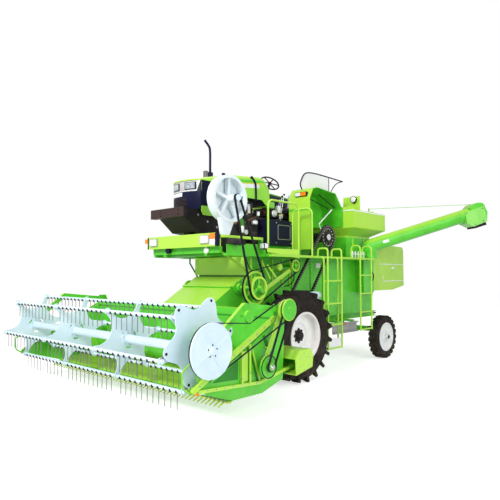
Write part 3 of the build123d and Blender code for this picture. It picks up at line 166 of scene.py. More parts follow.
def finish(
    name, colour, shade, rough, metal=0.0, coat=0.0, cloud=3.0, grain=60.0,
    bump=0.15, top=None, dust=0.0, zones=(), rings=(), shine=0.3,
):
    """A finish with cloudy colour, fine grain and dust low down, and zones in other colours.

    colour and shade are the two tones, top the tone of a painted highlight on faces that look up, shine the
    mirror part.
    zones are (colour, x limits, y limits, z limits); rings are (colour, y, z, inner, outer).
    """
    material = bpy.data.materials.new(name)
    material.use_nodes = True
    tree = material.node_tree
    shader = tree.nodes["Principled BSDF"]
    shader.inputs["Metallic"].default_value = metal
    shader.inputs["Coat Weight"].default_value = coat
    shader.inputs["Coat Roughness"].default_value = 0.12
    shader.inputs["Specular IOR Level"].default_value = shine
    place = tree.nodes.new("ShaderNodeTexCoord").outputs["Object"]
    axes = vehicle_axes(tree, place)
    tone = spread(tree, noise(tree, place, cloud, 4.0), 0.35, 0.68)
    base = blend_colour(tree, tone, colour, shade)
    # Painted highlight: faces that look up blend towards top, lighter as if lit from above
    if top is not None:
        normal = tree.nodes.new("ShaderNodeNewGeometry").outputs["Normal"]
        lift = tree.nodes.new("ShaderNodeSeparateXYZ")
        wire(tree.links, normal, lift.inputs[0])
        base = blend_colour(tree, spread(tree, lift.outputs[2], 0.15, 0.9), base, top)
    for zone_colour, x, y, z in zones:
        base = blend_colour(tree, box_mask(tree, axes, (x, y, z)), base, zone_colour)
    for ring_colour, y, z, low, high in rings:
        base = blend_colour(tree, ring_mask(tree, axes, y, z, low, high), base, ring_colour)
    fine = noise(tree, place, grain, 3.0)
    if dust:
        low_down = spread(tree, axes[2], 0.0, 1.1, 1.0, 0.0)
        patchy = math_node(tree, "MULTIPLY", low_down, spread(tree, noise(tree, place, 9.0, 6.0), 0.42, 0.7))
        base = blend_colour(tree, math_node(tree, "MULTIPLY", patchy, dust), base, DUST)
    wire(tree.links, base, shader.inputs["Base Color"])
    wire(tree.links, spread(tree, fine, 0.3, 0.7, rough - 0.06, rough + 0.08), shader.inputs["Roughness"])
    rise = tree.nodes.new("ShaderNodeBump")
    rise.inputs["Strength"].default_value = bump
    rise.inputs["Distance"].default_value = 0.002
    wire(tree.links, fine, rise.inputs["Height"])
    wire(tree.links, rise.outputs["Normal"], shader.inputs["Normal"])
    return material


def green_finish(name, rough=0.3, dust=0.0, zones=(), rings=()):
    """The machine's green with a painted highlight in lime on faces that look up, and painted zones and
    rings.
    """
    return finish(name, GREEN, GREEN_SHADE, rough, coat=0.1, top=LIME, dust=dust, zones=zones, rings=rings)


def dress(material, nodes):
    """Give CAD nodes, named with spaces between, a finish."""
    for name in nodes.split():
        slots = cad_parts[name].data.materials
        slots.clear()
        slots.append(material)


# Finishes; where a top colour is given, faces that look up carry a painted highlight
green_paint = green_finish("green_paint", dust=0.25)
rail_paint = finish("rail_paint", LIME, DEEP_LIME, 0.32, coat=0.1, top=(0.60, 0.84, 0.18))
BONNET_TONES = (0.30, 0.66, 0.05), (0.24, 0.62, 0.04)
lime_paint = finish("lime_paint", *BONNET_TONES, 0.26, coat=0.15, top=(0.55, 0.80, 0.16))
bright_lime = finish("bright_lime", LIME, DEEP_LIME, 0.28, coat=0.12, top=PALE_LIME, dust=0.1)
pale_paint = finish("pale_paint", PALE_BLUE, (0.56, 0.72, 0.82), 0.34, coat=0.1, dust=0.12)
white_paint = finish("white_paint", WHITE, (0.74, 0.76, 0.77), 0.32, coat=0.15, dust=0.2)
black_paint = finish("black_paint", BLACK, BLACK_SHADE, 0.42, shine=0.12)
cast_iron = finish("cast_iron", IRON, (0.05, 0.04, 0.035), 0.58, bump=0.5, grain=140, shine=0.12)
navy_paint = finish("navy_paint", NAVY, (0.012, 0.014, 0.042), 0.35, shine=0.08)
TYRE_TONES = (0.012, 0.011, 0.011), (0.028, 0.022, 0.018)
tyre_rubber = finish("tyre_rubber", *TYRE_TONES, 0.78, bump=0.4, grain=90, cloud=7, dust=0.22, shine=0.1)
belt_rubber = finish("belt_rubber", (0.010, 0.010, 0.016), (0.022, 0.022, 0.028), 0.7, bump=0.3, shine=0.1)
bright_steel = finish("bright_steel", STEEL, (0.36, 0.36, 0.37), 0.30, metal=0.9, bump=0.1, grain=200)
chrome = finish("chrome", (0.75, 0.76, 0.77), (0.66, 0.67, 0.68), 0.12, metal=1.0, bump=0.05)
CHAIN_TONES = (0.018, 0.016, 0.016), (0.06, 0.05, 0.045)
chain_steel = finish("chain_steel", *CHAIN_TONES, 0.5, metal=0.3, grain=120, shine=0.2)
engine_zones = (
    (NAVY, (0.198, 0.43), (0.11, 0.89), (2.36, 2.86)),
    ((0.05, 0.20, 0.03), (0.24, 0.4), (-0.48, -0.36), (2.6, 2.85)),
    ((0.55, 0.56, 0.55), (0.24, 0.4), (-0.30, -0.20), (2.9, 3.1)),
    (COPPER, (0.24, 0.4), (-0.90, -0.5), (2.68, 2.84)),
)
ENGINE_TONES = (0.022, 0.021, 0.028), (0.055, 0.045, 0.04)
engine_iron = finish(
    "engine_iron", *ENGINE_TONES, 0.52, bump=0.5, grain=110, cloud=11, shine=0.15, zones=engine_zones
)
silver_metal = finish("silver_metal", (0.62, 0.63, 0.64), (0.48, 0.49, 0.5), 0.34, metal=0.6, grain=150)
grey_metal = finish("grey_metal", (0.20, 0.19, 0.19), (0.12, 0.11, 0.12), 0.4, metal=0.3)
copper_metal = finish("copper_metal", COPPER, (0.30, 0.12, 0.05), 0.36, metal=0.7)
dark_vinyl = finish("dark_vinyl", (0.02, 0.022, 0.035), (0.035, 0.036, 0.05), 0.5, grain=260, bump=0.35)
# The seat back's pale tone is partly the vinyl's own and partly a painted highlight
pale_vinyl = finish("pale_vinyl", (0.62, 0.70, 0.80), (0.70, 0.76, 0.84), 0.5, grain=260, bump=0.35)
# Deep green: the colour of some small parts, and painted shade on the header's end
deep_green = finish("deep_green", (0.015, 0.22, 0.01), (0.01, 0.16, 0.008), 0.4)
spout_paint = finish("spout_paint", (0.26, 0.68, 0.12), (0.20, 0.60, 0.09), 0.34, coat=0.1, top=LIME)
clear_sheet = finish("clear_sheet", (0.86, 0.86, 0.87), (0.80, 0.80, 0.82), 0.25, bump=0.05)
bumper_zone = ((0.045, 0.028, 0.025), (-0.1, 0.45), (-1.95, -1.86), (2.72, 2.92))
carrier_paint = finish("carrier_paint", BLACK, BLACK_SHADE, 0.42, shine=0.12, zones=(bumper_zone,))
red_paint = finish("red_paint", RED, (0.42, 0.015, 0.02), 0.35)
yellow_paint = finish("yellow_paint", (0.80, 0.62, 0.03), (0.72, 0.54, 0.02), 0.35)
light_bar_paint = finish("light_bar_paint", (0.46, 0.76, 0.08), LIME, 0.3, coat=0.15, top=PALE_LIME)
frame_paint = green_finish("frame_paint", 0.34, 0.4, ((GREY, (0.93, 1.01), (1.47, 2.39), (0.63, 0.86)),))
platform_zones = (
    (LIME, (1.136, 1.152), (-0.75, 0.2), (2.05, 2.3)),
    (LIME, (0.84, 0.932), (-1.52, -0.55), (2.39, 2.45)),
    (DEEP_LIME, (1.1, 1.152), (-0.62, 3.1), (2.11, 2.17)),
)
platform_paint = green_finish("platform_paint", 0.32, zones=platform_zones)
# Painted highlight: the threshing body's front panel is painted a paler lime, as if lit from the front
body_front_highlight = (((0.55, 0.92, 0.10), (-0.1, 0.66), (-0.72, -0.69), (1.8, 2.12)),)
body_paint = green_finish("body_paint", dust=0.25, zones=body_front_highlight)
tank_zones = (
    (LIME, (-0.1, 1.12), (2.0, 3.45), (2.79, 3.46)),
    (DEEP_LIME, (-0.1, 1.12), (2.0, 3.45), (2.60, 2.79)),
)
tank_paint = green_finish("tank_paint", zones=tank_zones)
fender_zones = (
    (LIME, (0.33, 0.86), (0.86, 0.99), (3.1, 3.5)),
    (DEEP_LIME, (0.33, 0.86), (0.89, 0.93), (2.2, 3.1)),
)
fender_paint = green_finish("fender_paint", zones=fender_zones)
header_zones = (
    (LIME, (2.1905, 2.24), (-3.4, -1.5), (0.4, 1.5)),
    (LIME, (2.24, 2.40), (-1.6, -1.1), (0.44, 0.85)),
    (DEEP_LIME, (1.7, 2.24), (-1.6, -1.1), (0.68, 0.85)),
)
header_paint = green_finish("header_paint", dust=0.25, zones=header_zones)
pulley_zones = ((PALE_BLUE, (1.02, 1.12), (-1.45, -1.2), (2.9, 3.1)),)
pulley_rings = (
    (LIME, -0.85, 1.6, 0.154, 0.192),
    (DEEP_LIME, -0.85, 1.6, 0.243, 0.282),
    (LIME, 0.24, 1.98, 0.085, 0.112),
)
pulley_paint = green_finish("pulley_paint", zones=pulley_zones, rings=pulley_rings)
guard_paint = finish("guard_paint", (0.30, 0.60, 0.05), (0.60, 0.66, 0.08), 0.4, cloud=30, dust=0.3)
grille_black = finish("grille_black", (0.014, 0.012, 0.016), (0.03, 0.024, 0.026), 0.45, bump=0.3, shine=0.15)
silver_plastic = finish("silver_plastic", (0.52, 0.50, 0.50), (0.42, 0.40, 0.42), 0.35, bump=0.05)
brown_black = finish("brown_black", (0.040, 0.026, 0.026), (0.06, 0.042, 0.04), 0.45, bump=0.2, shine=0.15)
wheel_paint = finish("wheel_paint", (0.76, 0.83, 0.86), (0.66, 0.76, 0.80), 0.32, coat=0.15)
RIM_TONES = (0.80, 0.77, 0.76), (0.70, 0.66, 0.65)
rim_rings = ((WHITE, 0.0, 0.775, 0.0, 0.345),)
front_rim_paint = finish("front_rim_paint", *RIM_TONES, 0.36, coat=0.1, dust=0.2, rings=rim_rings)
lamp_glass = finish("lamp_glass", (0.86, 0.87, 0.86), (0.70, 0.72, 0.74), 0.10, coat=0.9, cloud=60, bump=0.05)
HEADLAMP_TONES = (0.50, 0.56, 0.58), (0.16, 0.20, 0.24)
headlamp_glass = finish("headlamp_glass", *HEADLAMP_TONES, 0.12, coat=0.6, cloud=22)
orange_lens = finish("orange_lens", (0.95, 0.27, 0.0), (0.88, 0.22, 0.0), 0.14, coat=0.3, cloud=60, bump=0.1)
red_lens = finish("red_lens", RED, (0.40, 0.01, 0.01), 0.14, coat=0.5, cloud=60, bump=0.1)
clip_brown = finish("clip_brown", (0.035, 0.022, 0.02), (0.02, 0.014, 0.014), 0.5, bump=0.3, shine=0.15)
pipe_black = finish("pipe_black", (0.014, 0.014, 0.02), (0.05, 0.03, 0.025), 0.55, cloud=14, shine=0.15)
REEL_Y, REEL_Z, BAT_CIRCLE = -3.05, 0.965, 0.5


def bat_places():
    """Middles of the six bats in the (y, z) plane."""
    turns = [radians(10 + 60 * k) for k in range(6)]
    return [(REEL_Y + BAT_CIRCLE * cos(turn), REEL_Z + BAT_CIRCLE * sin(turn)) for turn in turns]


bat_rings = [(PALE_BLUE, y, z, -0.03, 0.03) for y, z in bat_places()]
bat_paint = finish("bat_paint", (0.17, 0.15, 0.145), (0.24, 0.21, 0.2), 0.45, rings=bat_rings)

dress(green_paint, "cleaning_shoe feeder_house front_axle header_auger header_trough lift_barrels")
dress(green_paint, "rear_axle reel_arms unload_auger")
dress(body_paint, "threshing_body")
dress(pulley_paint, "drive_pulleys")
dress(frame_paint, "chassis_frame")
dress(platform_paint, "platform")
dress(tank_paint, "grain_tank")
dress(fender_paint, "fenders")
dress(header_paint, "header_ends")
dress(rail_paint, "handrails ladders")
dress(lime_paint, "bonnet")
dress(bright_lime, "rear_hood header_pulleys")
dress(light_bar_paint, "light_bar")
dress(guard_paint, "cutter_bar")
dress(pale_paint, "reel_core eccentric_star")
dress(bat_paint, "reel_bat_1 reel_bat_2 reel_bat_3 reel_bat_4 reel_bat_5 reel_bat_6")
dress(white_paint, "rear_rim_left rear_rim_right lamps")
dress(wheel_paint, "belt_wheel")
dress(front_rim_paint, "front_rim_left front_rim_right")
dress(cast_iron, "front_hub_left front_hub_right knuckle_left knuckle_right")
dress(carrier_paint, "front_carrier")
dress(black_paint, "driver_guard steering_wheel seat")
dress(grille_black, "grille")
dress(pipe_black, "exhaust")
dress(engine_iron, "engine")
dress(tyre_rubber, "front_tyre_left front_tyre_right rear_tyre_left rear_tyre_right")
dress(belt_rubber, "drive_belts header_belts reel_belt")
dress(chain_steel, "drive_chains top_sprocket_left top_sprocket_right")
dress(bright_steel, "knife")
dress(chrome, "lift_rods")


# Making pieces
def fresh():
    """Nothing selected, ready for a new primitive."""
    if bpy.context.mode != "OBJECT":
        bpy.ops.object.mode_set(mode="OBJECT")
    bpy.ops.object.select_all(action="DESELECT")


def placed(name, data):
    """A new object in the scene."""
    piece = bpy.data.objects.new(name, data)
    bpy.context.scene.collection.objects.link(piece)
    return piece


def take(pieces):
    """Select some pieces and nothing else, the first of them active."""
    fresh()
    for piece in pieces:
        piece.select_set(True)
    bpy.context.view_layer.objects.active = pieces[0]


def edit(work):
    """Run one edit of the active piece in edit mode, with all of it selected before."""
    bpy.ops.object.mode_set(mode="EDIT")
    bpy.ops.mesh.select_all(action="SELECT")
    work()
    bpy.ops.object.mode_set(mode="OBJECT")


def close_up():
    """Turn every face of the active piece outwards."""
    bpy.ops.mesh.select_all(action="SELECT")
    bpy.ops.mesh.normals_make_consistent(inside=False)


def pick_faces(test):
    """Select only the faces of the active piece whose middle and normal pass a test."""
    piece = bpy.context.object
    bpy.ops.mesh.select_mode(type="FACE")
    bpy.ops.mesh.select_all(action="DESELECT")
    mesh = bmesh.from_edit_mesh(piece.data)
    for face in mesh.faces:
        face.select_set(test(face.calc_center_median(), face.normal))
    bmesh.update_edit_mesh(piece.data)


def settle(piece):
    """Put a piece's place, turn and size into its mesh."""
    take([piece])
    bpy.ops.object.transform_apply(location=True, rotation=True, scale=True)
    return piece


def plate(x, y, z, edge=0.002, rounds=2):
    """A box between its limits with rounded edges."""
    fresh()
    middle = [(pair[0] + pair[1]) / 2 for pair in (x, y, z)]
    size = [abs(pair[1] - pair[0]) for pair in (x, y, z)]
    bpy.ops.mesh.primitive_cube_add(size=1, location=middle, scale=size)
    piece = settle(bpy.context.object)
    edit(lambda: bpy.ops.mesh.bevel(offset=edge, segments=rounds, affect="EDGES"))
    return piece


def plates(*rows):
    """Several plates, each from its limits and edge."""
    return [plate(*row) for row in rows]


def round_bar(start, end, r, sides=24, edge=0.002):
    """A round bar between two points, its end faces drawn in and rounded."""
    fresh()
    a, b = Vector(start), Vector(end)
    along = b - a
    bpy.ops.mesh.primitive_cylinder_add(vertices=sides, radius=r, depth=along.length, location=(a + b) / 2)
    piece = bpy.context.object
    piece.rotation_mode = "QUATERNION"
    piece.rotation_quaternion = along.to_track_quat("Z", "Y")
    settle(piece)
    way = along.normalized()

    def round_ends():
        pick_faces(lambda middle, normal: abs(normal.dot(way)) > 0.9)
        bpy.ops.mesh.bevel(offset=edge, segments=2, affect="EDGES")

    edit(round_ends)
    return smooth(piece)


def dish(centre, way, rings, sides=32):
    """A turned piece about a line, from (distance along, radius) rings."""
    fresh()
    axis = Vector(way).normalized()
    bpy.ops.mesh.primitive_circle_add(vertices=sides, radius=rings[0][1], fill_type="NGON")
    piece = bpy.context.object
    piece.rotation_mode = "QUATERNION"
    piece.rotation_quaternion = axis.to_track_quat("Z", "Y")
    piece.location = Vector(centre) + axis * rings[0][0]
    settle(piece)

    def draw_out():
        bpy.ops.mesh.select_mode(type="FACE")
        bpy.ops.mesh.select_all(action="SELECT")
        for (near, r0), (far, r1) in zip(rings, rings[1:]):
            bpy.ops.mesh.extrude_region_move(TRANSFORM_OT_translate={"value": axis * (far - near)})
            grow = r1 / r0
            middle = Vector(centre) + axis * far
            bpy.ops.transform.resize(value=(grow, grow, grow), center_override=middle)
        close_up()

    edit(draw_out)
    return smooth(piece)


def tube(route, r, rounding=0.0, sides=5):
    """A bent tube along a smooth or straight-run route."""
    fresh()
    line = bpy.data.curves.new("tube", "CURVE")
    line.dimensions = "3D"
    line.bevel_depth = r
    line.bevel_resolution = sides
    line.use_fill_caps = True
    spline = line.splines.new("NURBS" if rounding else "POLY")
    spline.points.add(len(route) - 1)
    for point, spot in zip(spline.points, route):
        point.co = (*spot, 1)
    if rounding:
        spline.order_u = 3
        spline.use_endpoint_u = True
        spline.resolution_u = 8
    take([placed("tube", line)])
    bpy.ops.object.convert(target="MESH")
    return smooth(bpy.context.object)


def smooth(piece):
    """Smooth shading that keeps the sharp corners."""
    take([piece])
    bpy.ops.object.shade_smooth_by_angle(angle=radians(35))
    return piece


def moved_copy(piece, move):
    """A copy of a piece with its own mesh, moved."""
    mesh = piece.data.copy()
    mesh.transform(move)
    return placed(piece.name, mesh)


def copies(piece, moves):
    """Copies of a piece, one for every move. The first piece goes."""
    made = [moved_copy(piece, move) for move in moves]
    bpy.data.objects.remove(piece)
    return made


def shifted(*spots):
    """Moves that shift by each spot."""
    return [Matrix.Translation(spot) for spot in spots]


def merged(pieces):
    """Several pieces joined into the first."""
    take(pieces)
    if len(pieces) > 1:
        bpy.ops.object.join()
    return bpy.context.object


def joined(name, pieces, material, body="root", slot=None):
    """Join pieces into one, put it in the frame and let it ride.

    A slot is worked out, the finish's own unless another is given, but it is not used. A number may follow
    the finish's name.
    """
    whole = merged(pieces)
    whole.name = name
    whole.data.name = name
    whole.location = ORIGIN
    settle(whole)
    whole.data.materials.clear()
    whole.data.materials.append(material)
    if slot is None:
        slot = SLOT_OF[material.name.split(".")[0]]
    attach(whole, body)
    return whole


def bolt_heads(name, spots, way, r, material, body="root", slot=None, tall=0.6):
    """Hexagon bolt heads with a washer, standing on their spots and pointing along way."""
    axis = Vector(way).normalized()
    washer = dish((0, 0, 0), axis, [(-0.001, r * 1.35), (r * 0.18, r * 1.35), (r * 0.2, r * 1.25)], 12)
    head = dish((0, 0, 0), axis, [(r * 0.15, r), (r * tall, r), (r * (tall + 0.12), r * 0.86)], 6)
    return joined(name, copies(merged([head, washer]), shifted(*spots)), material, body, slot)


def both_sides(pieces):
    """The pieces and their mirror copies on the other side of the machine."""
    made = list(pieces)
    for piece in pieces:
        twin = moved_copy(piece, Matrix.Diagonal((-1, 1, 1, 1)))
        twin.data.flip_normals()
        made.append(twin)
    return made


def ring_spots(count, r, x, y, z, phase=90.0):
    """Places evenly round the X line through (y, z)."""
    turns = [radians(phase + 360 * k / count) for k in range(count)]
    return [(x, y + r * cos(turn), z + r * sin(turn)) for turn in turns]


def mirrored_spots(spots):
    """The same places on the right side of the machine."""
    return [(-x, y, z) for x, y, z in spots]


def side_bolts(name, spots, r, material, body="root", tall=0.6):
    """The same bolt heads on the left and the right side of the machine, pointing outwards."""
    bolt_heads(f"{name}_left", spots, LEFT, r, material, body, tall=tall)
    bolt_heads(f"{name}_right", mirrored_spots(spots), RIGHT, r, material, body, tall=tall)


def row(start, end, pitch):
    """Places along a line, ends included, about a pitch apart."""
    a, b = Vector(start), Vector(end)
    count = max(1, round((b - a).length / pitch))
    return [tuple(a.lerp(b, k / count)) for k in range(count + 1)]


def turned(piece, turn, y, z):
    """A piece drawn round the X axis, turned about it and set at (y, z)."""
    piece.data.transform(Matrix.Rotation(turn, 4, "X"))
    piece.data.transform(Matrix.Translation((0, y, z)))
    return piece


def flat_bar(a, b, half, x0, x1, edge=0.003):
    """A flat bar across X from one (y, z) place to another."""
    start, end = Vector(a), Vector(b)
    run = end - start
    piece = plate((x0, x1), (-half * 0.4, run.length + half * 0.4), (-half, half), edge, 1)
    return turned(piece, atan2(run.y, run.x), start.x, start.y)


def wall_ring(x, y, z, r, thick):
    """A raised ring on a tyre's wall or a disc's rim."""
    fresh()
    bpy.ops.mesh.primitive_torus_add(
        location=(x, y, z),
        rotation=(0, pi / 2, 0),
        major_radius=r,
        minor_radius=thick,
        major_segments=96,
        minor_segments=8,
    )
    return smooth(settle(bpy.context.object))


def paired(*rows):
    """Plates from their limits and edge, with their mirror copies on the right."""
    return both_sides(plates(*rows))


def spokes(x, y, z, edge, phase, middle):
    """Four copies of a plate, a quarter turn apart round a middle in the (y, z) plane."""
    return [turned(plate(x, y, z, edge), radians(phase + 90 * k), *middle) for k in range(4)]


# Nose of the tractor
NOSE_Y, NOSE_TIP, NOSE_R, NOSE_HALF = -1.44, -1.54, 0.662, 0.36
TRIM_LOW, TRIM_SLANT = 3.198, 0.30


def slice_across(piece, cuts):
    """Divide the long edges that run across the machine."""

    def work():
        bpy.ops.mesh.select_mode(type="EDGE")
        bpy.ops.mesh.select_all(action="DESELECT")
        mesh = bmesh.from_edit_mesh(piece.data)
        for edge in mesh.edges:
            run = edge.verts[0].co - edge.verts[1].co
            edge.select_set(abs(run.x) > 0.04 and abs(run.x) > 4 * abs(run.y) + 4 * abs(run.z))
        bmesh.update_edit_mesh(piece.data)
        bpy.ops.mesh.subdivide(number_cuts=cuts)

    edit(work)


def bow_forward(piece):
    """Push a plate that was drawn at NOSE_Y forwards onto the bowed nose."""
    for vertex in piece.data.vertices:
        across = min(abs(vertex.co.x), NOSE_HALF)
        vertex.co.y += NOSE_TIP - NOSE_Y + NOSE_R - (NOSE_R * NOSE_R - across * across) ** 0.5
    return piece


def nose_plate(x, y, z, edge=0.004, cuts=14, slant=0.0):
    """A rounded plate across the nose that follows its bow, its ends drawn in towards the bottom."""
    piece = plate(x, (NOSE_Y + y[0], NOSE_Y + y[1]), z, edge)
    slice_across(piece, cuts)
    for vertex in piece.data.vertices:
        vertex.co.x *= 1 - slant * (z[1] - vertex.co.z)
    return smooth(bow_forward(piece))


band = nose_plate((-0.335, 0.335), (-0.014, 0.01), (3.207, 3.372), 0.006, slant=0.9)
joined("nose_band", [band], silver_plastic, slot="white_paint")
lower_panel = nose_plate((-0.354, 0.354), (-0.010, 0.01), (2.893, 3.376), 0.006)
cheeks = paired(
    ((0.352, 0.368), (NOSE_Y + 0.004, NOSE_Y + 0.20), (3.105, 3.376), 0.006),
    ((0.350, 0.366), (NOSE_Y + 0.004, NOSE_Y + 0.34), (2.97, 3.11), 0.006),
)
joined("nose_panel", [lower_panel, *cheeks], navy_paint, slot="dark_plastic")
cap = nose_plate((-0.366, 0.366), (-0.026, 0.02), (3.374, 3.398), 0.008)
cap_sides = paired(((0.356, 0.372), (NOSE_Y - 0.005, NOSE_Y + 0.22), (3.374, 3.398), 0.006))
joined("nose_cap", [cap, *cap_sides], bright_lime)
bar_heights = [2.915 + k * 0.021 for k in range(9)]
bars = [nose_plate((-0.31, 0.12), (-0.024, -0.008), (low, low + 0.008), 0.002, 8) for low in bar_heights]
joined("grille_bars", bars, brown_black)
trims = [nose_plate((-0.283, 0.283), (-0.020, -0.006), (3.196, 3.208), 0.003)]
for side in (-1, 1):
    edge_bar = plate((0.280, 0.292), (NOSE_Y - 0.020, NOSE_Y - 0.006), (TRIM_LOW, 3.374), 0.003)
    for vertex in edge_bar.data.vertices:
        vertex.co.x = side * (vertex.co.x + TRIM_SLANT * (vertex.co.z - TRIM_LOW))
    if side < 0:
        edge_bar.data.flip_normals()
    trims.append(bow_forward(edge_bar))
joined("nose_trim", trims, white_paint)
number_plate = nose_plate((-0.33, 0.01), (-0.026, -0.016), (3.118, 3.185), 0.004, 8)
joined("nose_plate", [number_plate], white_paint)


def lamp_box(x, y, z, deep):
    """A rectangular lamp: a dark rounded frame and a lens sunk in its front face."""
    frame_piece = plate(x, (y - deep, y), z, 0.008, 3)
    middle_x = (x[0] + x[1]) / 2

    def sink():
        pick_faces(lambda middle, normal: normal.y < -0.98 and abs(middle.x - middle_x) < 0.01)
        bpy.ops.mesh.inset(thickness=0.008)
        bpy.ops.mesh.extrude_region_move(TRANSFORM_OT_translate={"value": (0, 0.012, 0)})

    edit(sink)
    rim = 0.011
    front = (y - deep + 0.002, y - deep + 0.012)
    lens = plate((x[0] + rim, x[1] - rim), front, (z[0] + rim, z[1] - rim), 0.004, 3)
    for vertex in lens.data.vertices:
        across = (vertex.co.x - middle_x) / (x[1] - x[0]) * 2
        if vertex.co.y < y - deep + 0.006:
            vertex.co.y -= 0.004 * (1 - across * across)
    return frame_piece, lens


nose_lamps = []
for x in ((-0.285, -0.07), (0.07, 0.285)):
    frame_piece, lens = lamp_box(x, NOSE_Y - 0.006, (3.226, 3.350), 0.024)
    slice_across(lens, 6)
    nose_lamps.append((bow_forward(frame_piece), bow_forward(lens)))
bar_lamps = [lamp_box(x, -1.598, (2.305, 2.44), 0.03) for x in ((-0.80, -0.59), (0.52, 0.73))]
joined("lamp_frames", [lamp[0] for lamp in nose_lamps], black_paint)
joined("bar_lamp_frames", [lamp[0] for lamp in bar_lamps], silver_plastic)
joined("lamp_lenses", [lamp[1] for lamp in nose_lamps], headlamp_glass)
joined("bar_lamp_lenses", [lamp[1] for lamp in bar_lamps], lamp_glass)

# Light bar: its ends and the signals beside them
caps = [plate(x, (-1.605, -1.53), (2.262, 2.468), 0.006) for x in ((0.856, 0.890), (-0.885, -0.856))]
end_caps = joined("light_bar_caps", caps, navy_paint)
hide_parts("lamps")
signals = plates(
    ((0.738, 0.854), (-1.616, -1.598), (2.375, 2.464), 0.005),
    ((-0.972, -0.885), (-1.60, -1.55), (2.365, 2.445), 0.006),
)
joined("signal_lenses", signals, orange_lens)
joined("signal_whites", [plate((0.738, 0.854), (-1.614, -1.598), (2.28, 2.374), 0.005)], lamp_glass)

# Bolts of the front carrier and the bumper
carrier_places = ((-1.48, 2.80), (-1.27, 2.84), (-1.27, 2.70), (-1.06, 2.84), (-1.06, 2.62))
carrier_bolts = [(0.3205, y, z) for y, z in carrier_places]
bolt_heads("carrier_bolts", carrier_bolts, LEFT, 0.014, bright_steel)
bolt_heads("carrier_bolts_right", mirrored_spots(carrier_bolts), RIGHT, 0.014, bright_steel)
bumper_bolts = [(x, -1.8805, z) for x in (-0.15, 0.30) for z in (2.78, 2.85)]
bolt_heads("bumper_bolts", bumper_bolts, AHEAD, 0.010, black_paint)


# Wheels: lobed hub plates, caps, nuts and the rims of the tyre walls
AXLE_Z, REAR_Y, REAR_Z = 0.775, 3.22, 0.46


def lobed_plate(x0, x1, y, z, low, high, lobes):
    """A flat hub plate with round lobes."""
    piece = round_bar((x0, y, z), (x1, y, z), high, 96, 0.002)
    for vertex in piece.data.vertices:
        side, rise = vertex.co.y - y, vertex.co.z - z
        if hypot(side, rise) < 1e-4:
            continue
        swing = cos(lobes * atan2(rise, side))
        scale = (low + (high - low) * (0.5 + 0.5 * swing)) / high
        vertex.co.y = y + side * scale
        vertex.co.z = z + rise * scale
    return piece


for side, way in (("left", 1), ("right", -1)):
    wheel = f"front_wheel_{side}"
    out = (way, 0, 0)
    face = way * 1.236
    hub = [lobed_plate(face, face + way * 0.014, 0, AXLE_Z, 0.098, 0.130, 8)]
    hub.append(dish((way * 1.286, 0, AXLE_Z), out, [(0, 0.072), (0.012, 0.07), (0.024, 0.055), (0.03, 0.03)]))
    joined(f"hub_plate_{side}", hub, black_paint, wheel, "black_casting")
    nuts = ring_spots(8, 0.112, face + way * 0.013, 0, AXLE_Z)
    bolt_heads(f"hub_nuts_{side}", nuts, out, 0.013, cast_iron, wheel, tall=1.0)
    rim_nuts = ring_spots(8, 0.295, way * 1.258, 0, AXLE_Z, 22.5)
    bolt_heads(f"rim_bolts_{side}", rim_nuts, out, 0.012, white_paint, wheel, "cream_paint")
    walls = ((1.4165, 0.548, 0.006), (1.4105, 0.478, 0.005), (1.402, 0.632, 0.004))
    rings = [wall_ring(way * x, 0, AXLE_Z, r, thick) for x, r, thick in walls]
    joined(f"wall_rings_{side}", rings, tyre_rubber, wheel)
    valve = tube([(way * 1.31, 0, AXLE_Z + 0.372), (way * 1.33, 0, AXLE_Z + 0.355)], 0.005)
    joined(f"valve_{side}", [valve], black_paint, wheel, "rubber")

    wheel = f"rear_wheel_{side}"
    cap = dish((way * 1.236, REAR_Y, REAR_Z), out, [(0, 0.04), (0.012, 0.038), (0.02, 0.024)], 24)
    joined(f"rear_cap_{side}", [cap], cast_iron, wheel)
    nuts = ring_spots(6, 0.082, way * 1.192, REAR_Y, REAR_Z)
    bolt_heads(f"rear_nuts_{side}", nuts, out, 0.011, bright_steel, wheel)
    rings = [wall_ring(way * x, REAR_Y, REAR_Z, r, 0.004) for x, r in ((1.2, 0.352), (1.196, 0.395))]
    joined(f"rear_wall_rings_{side}", rings, tyre_rubber, wheel)

# Drive chains: links with two plates and a roller, round both sprockets
CHAIN_X = 0.9
LOW_Y, LOW_Z, LOW_R = 0.0, AXLE_Z, 0.256
TOP_Y, TOP_Z, TOP_R = 1.4, 2.55, 0.216


def chain_places(count):
    """Even places and headings along the loop round the two sprockets."""
    reach = Vector((TOP_Y - LOW_Y, TOP_Z - LOW_Z))
    lean = atan2(reach.y, reach.x)
    spread_angle = acos((LOW_R - TOP_R) / reach.length)
    straight = (reach.length_squared - (LOW_R - TOP_R) ** 2) ** 0.5
    low_arc = LOW_R * 2 * (pi - spread_angle)
    top_arc = TOP_R * 2 * spread_angle
    whole = 2 * straight + low_arc + top_arc
    places = []
    for k in range(count):
        along = whole * k / count
        for side in (1, -1):
            if 0 <= along < straight:
                angle = lean + side * spread_angle
                heading = angle - side * pi / 2
                y = LOW_Y + LOW_R * cos(angle) + along * cos(heading)
                z = LOW_Z + LOW_R * sin(angle) + along * sin(heading)
                places.append((y, z, heading))
            along -= straight
        if 0 <= along < top_arc:
            angle = lean + spread_angle - along / TOP_R
            places.append((TOP_Y + TOP_R * cos(angle), TOP_Z + TOP_R * sin(angle), angle - pi / 2))
        along -= top_arc
        if along >= 0:
            angle = lean - spread_angle - along / LOW_R
            places.append((LOW_Y + LOW_R * cos(angle), LOW_Z + LOW_R * sin(angle), angle - pi / 2))
    return places


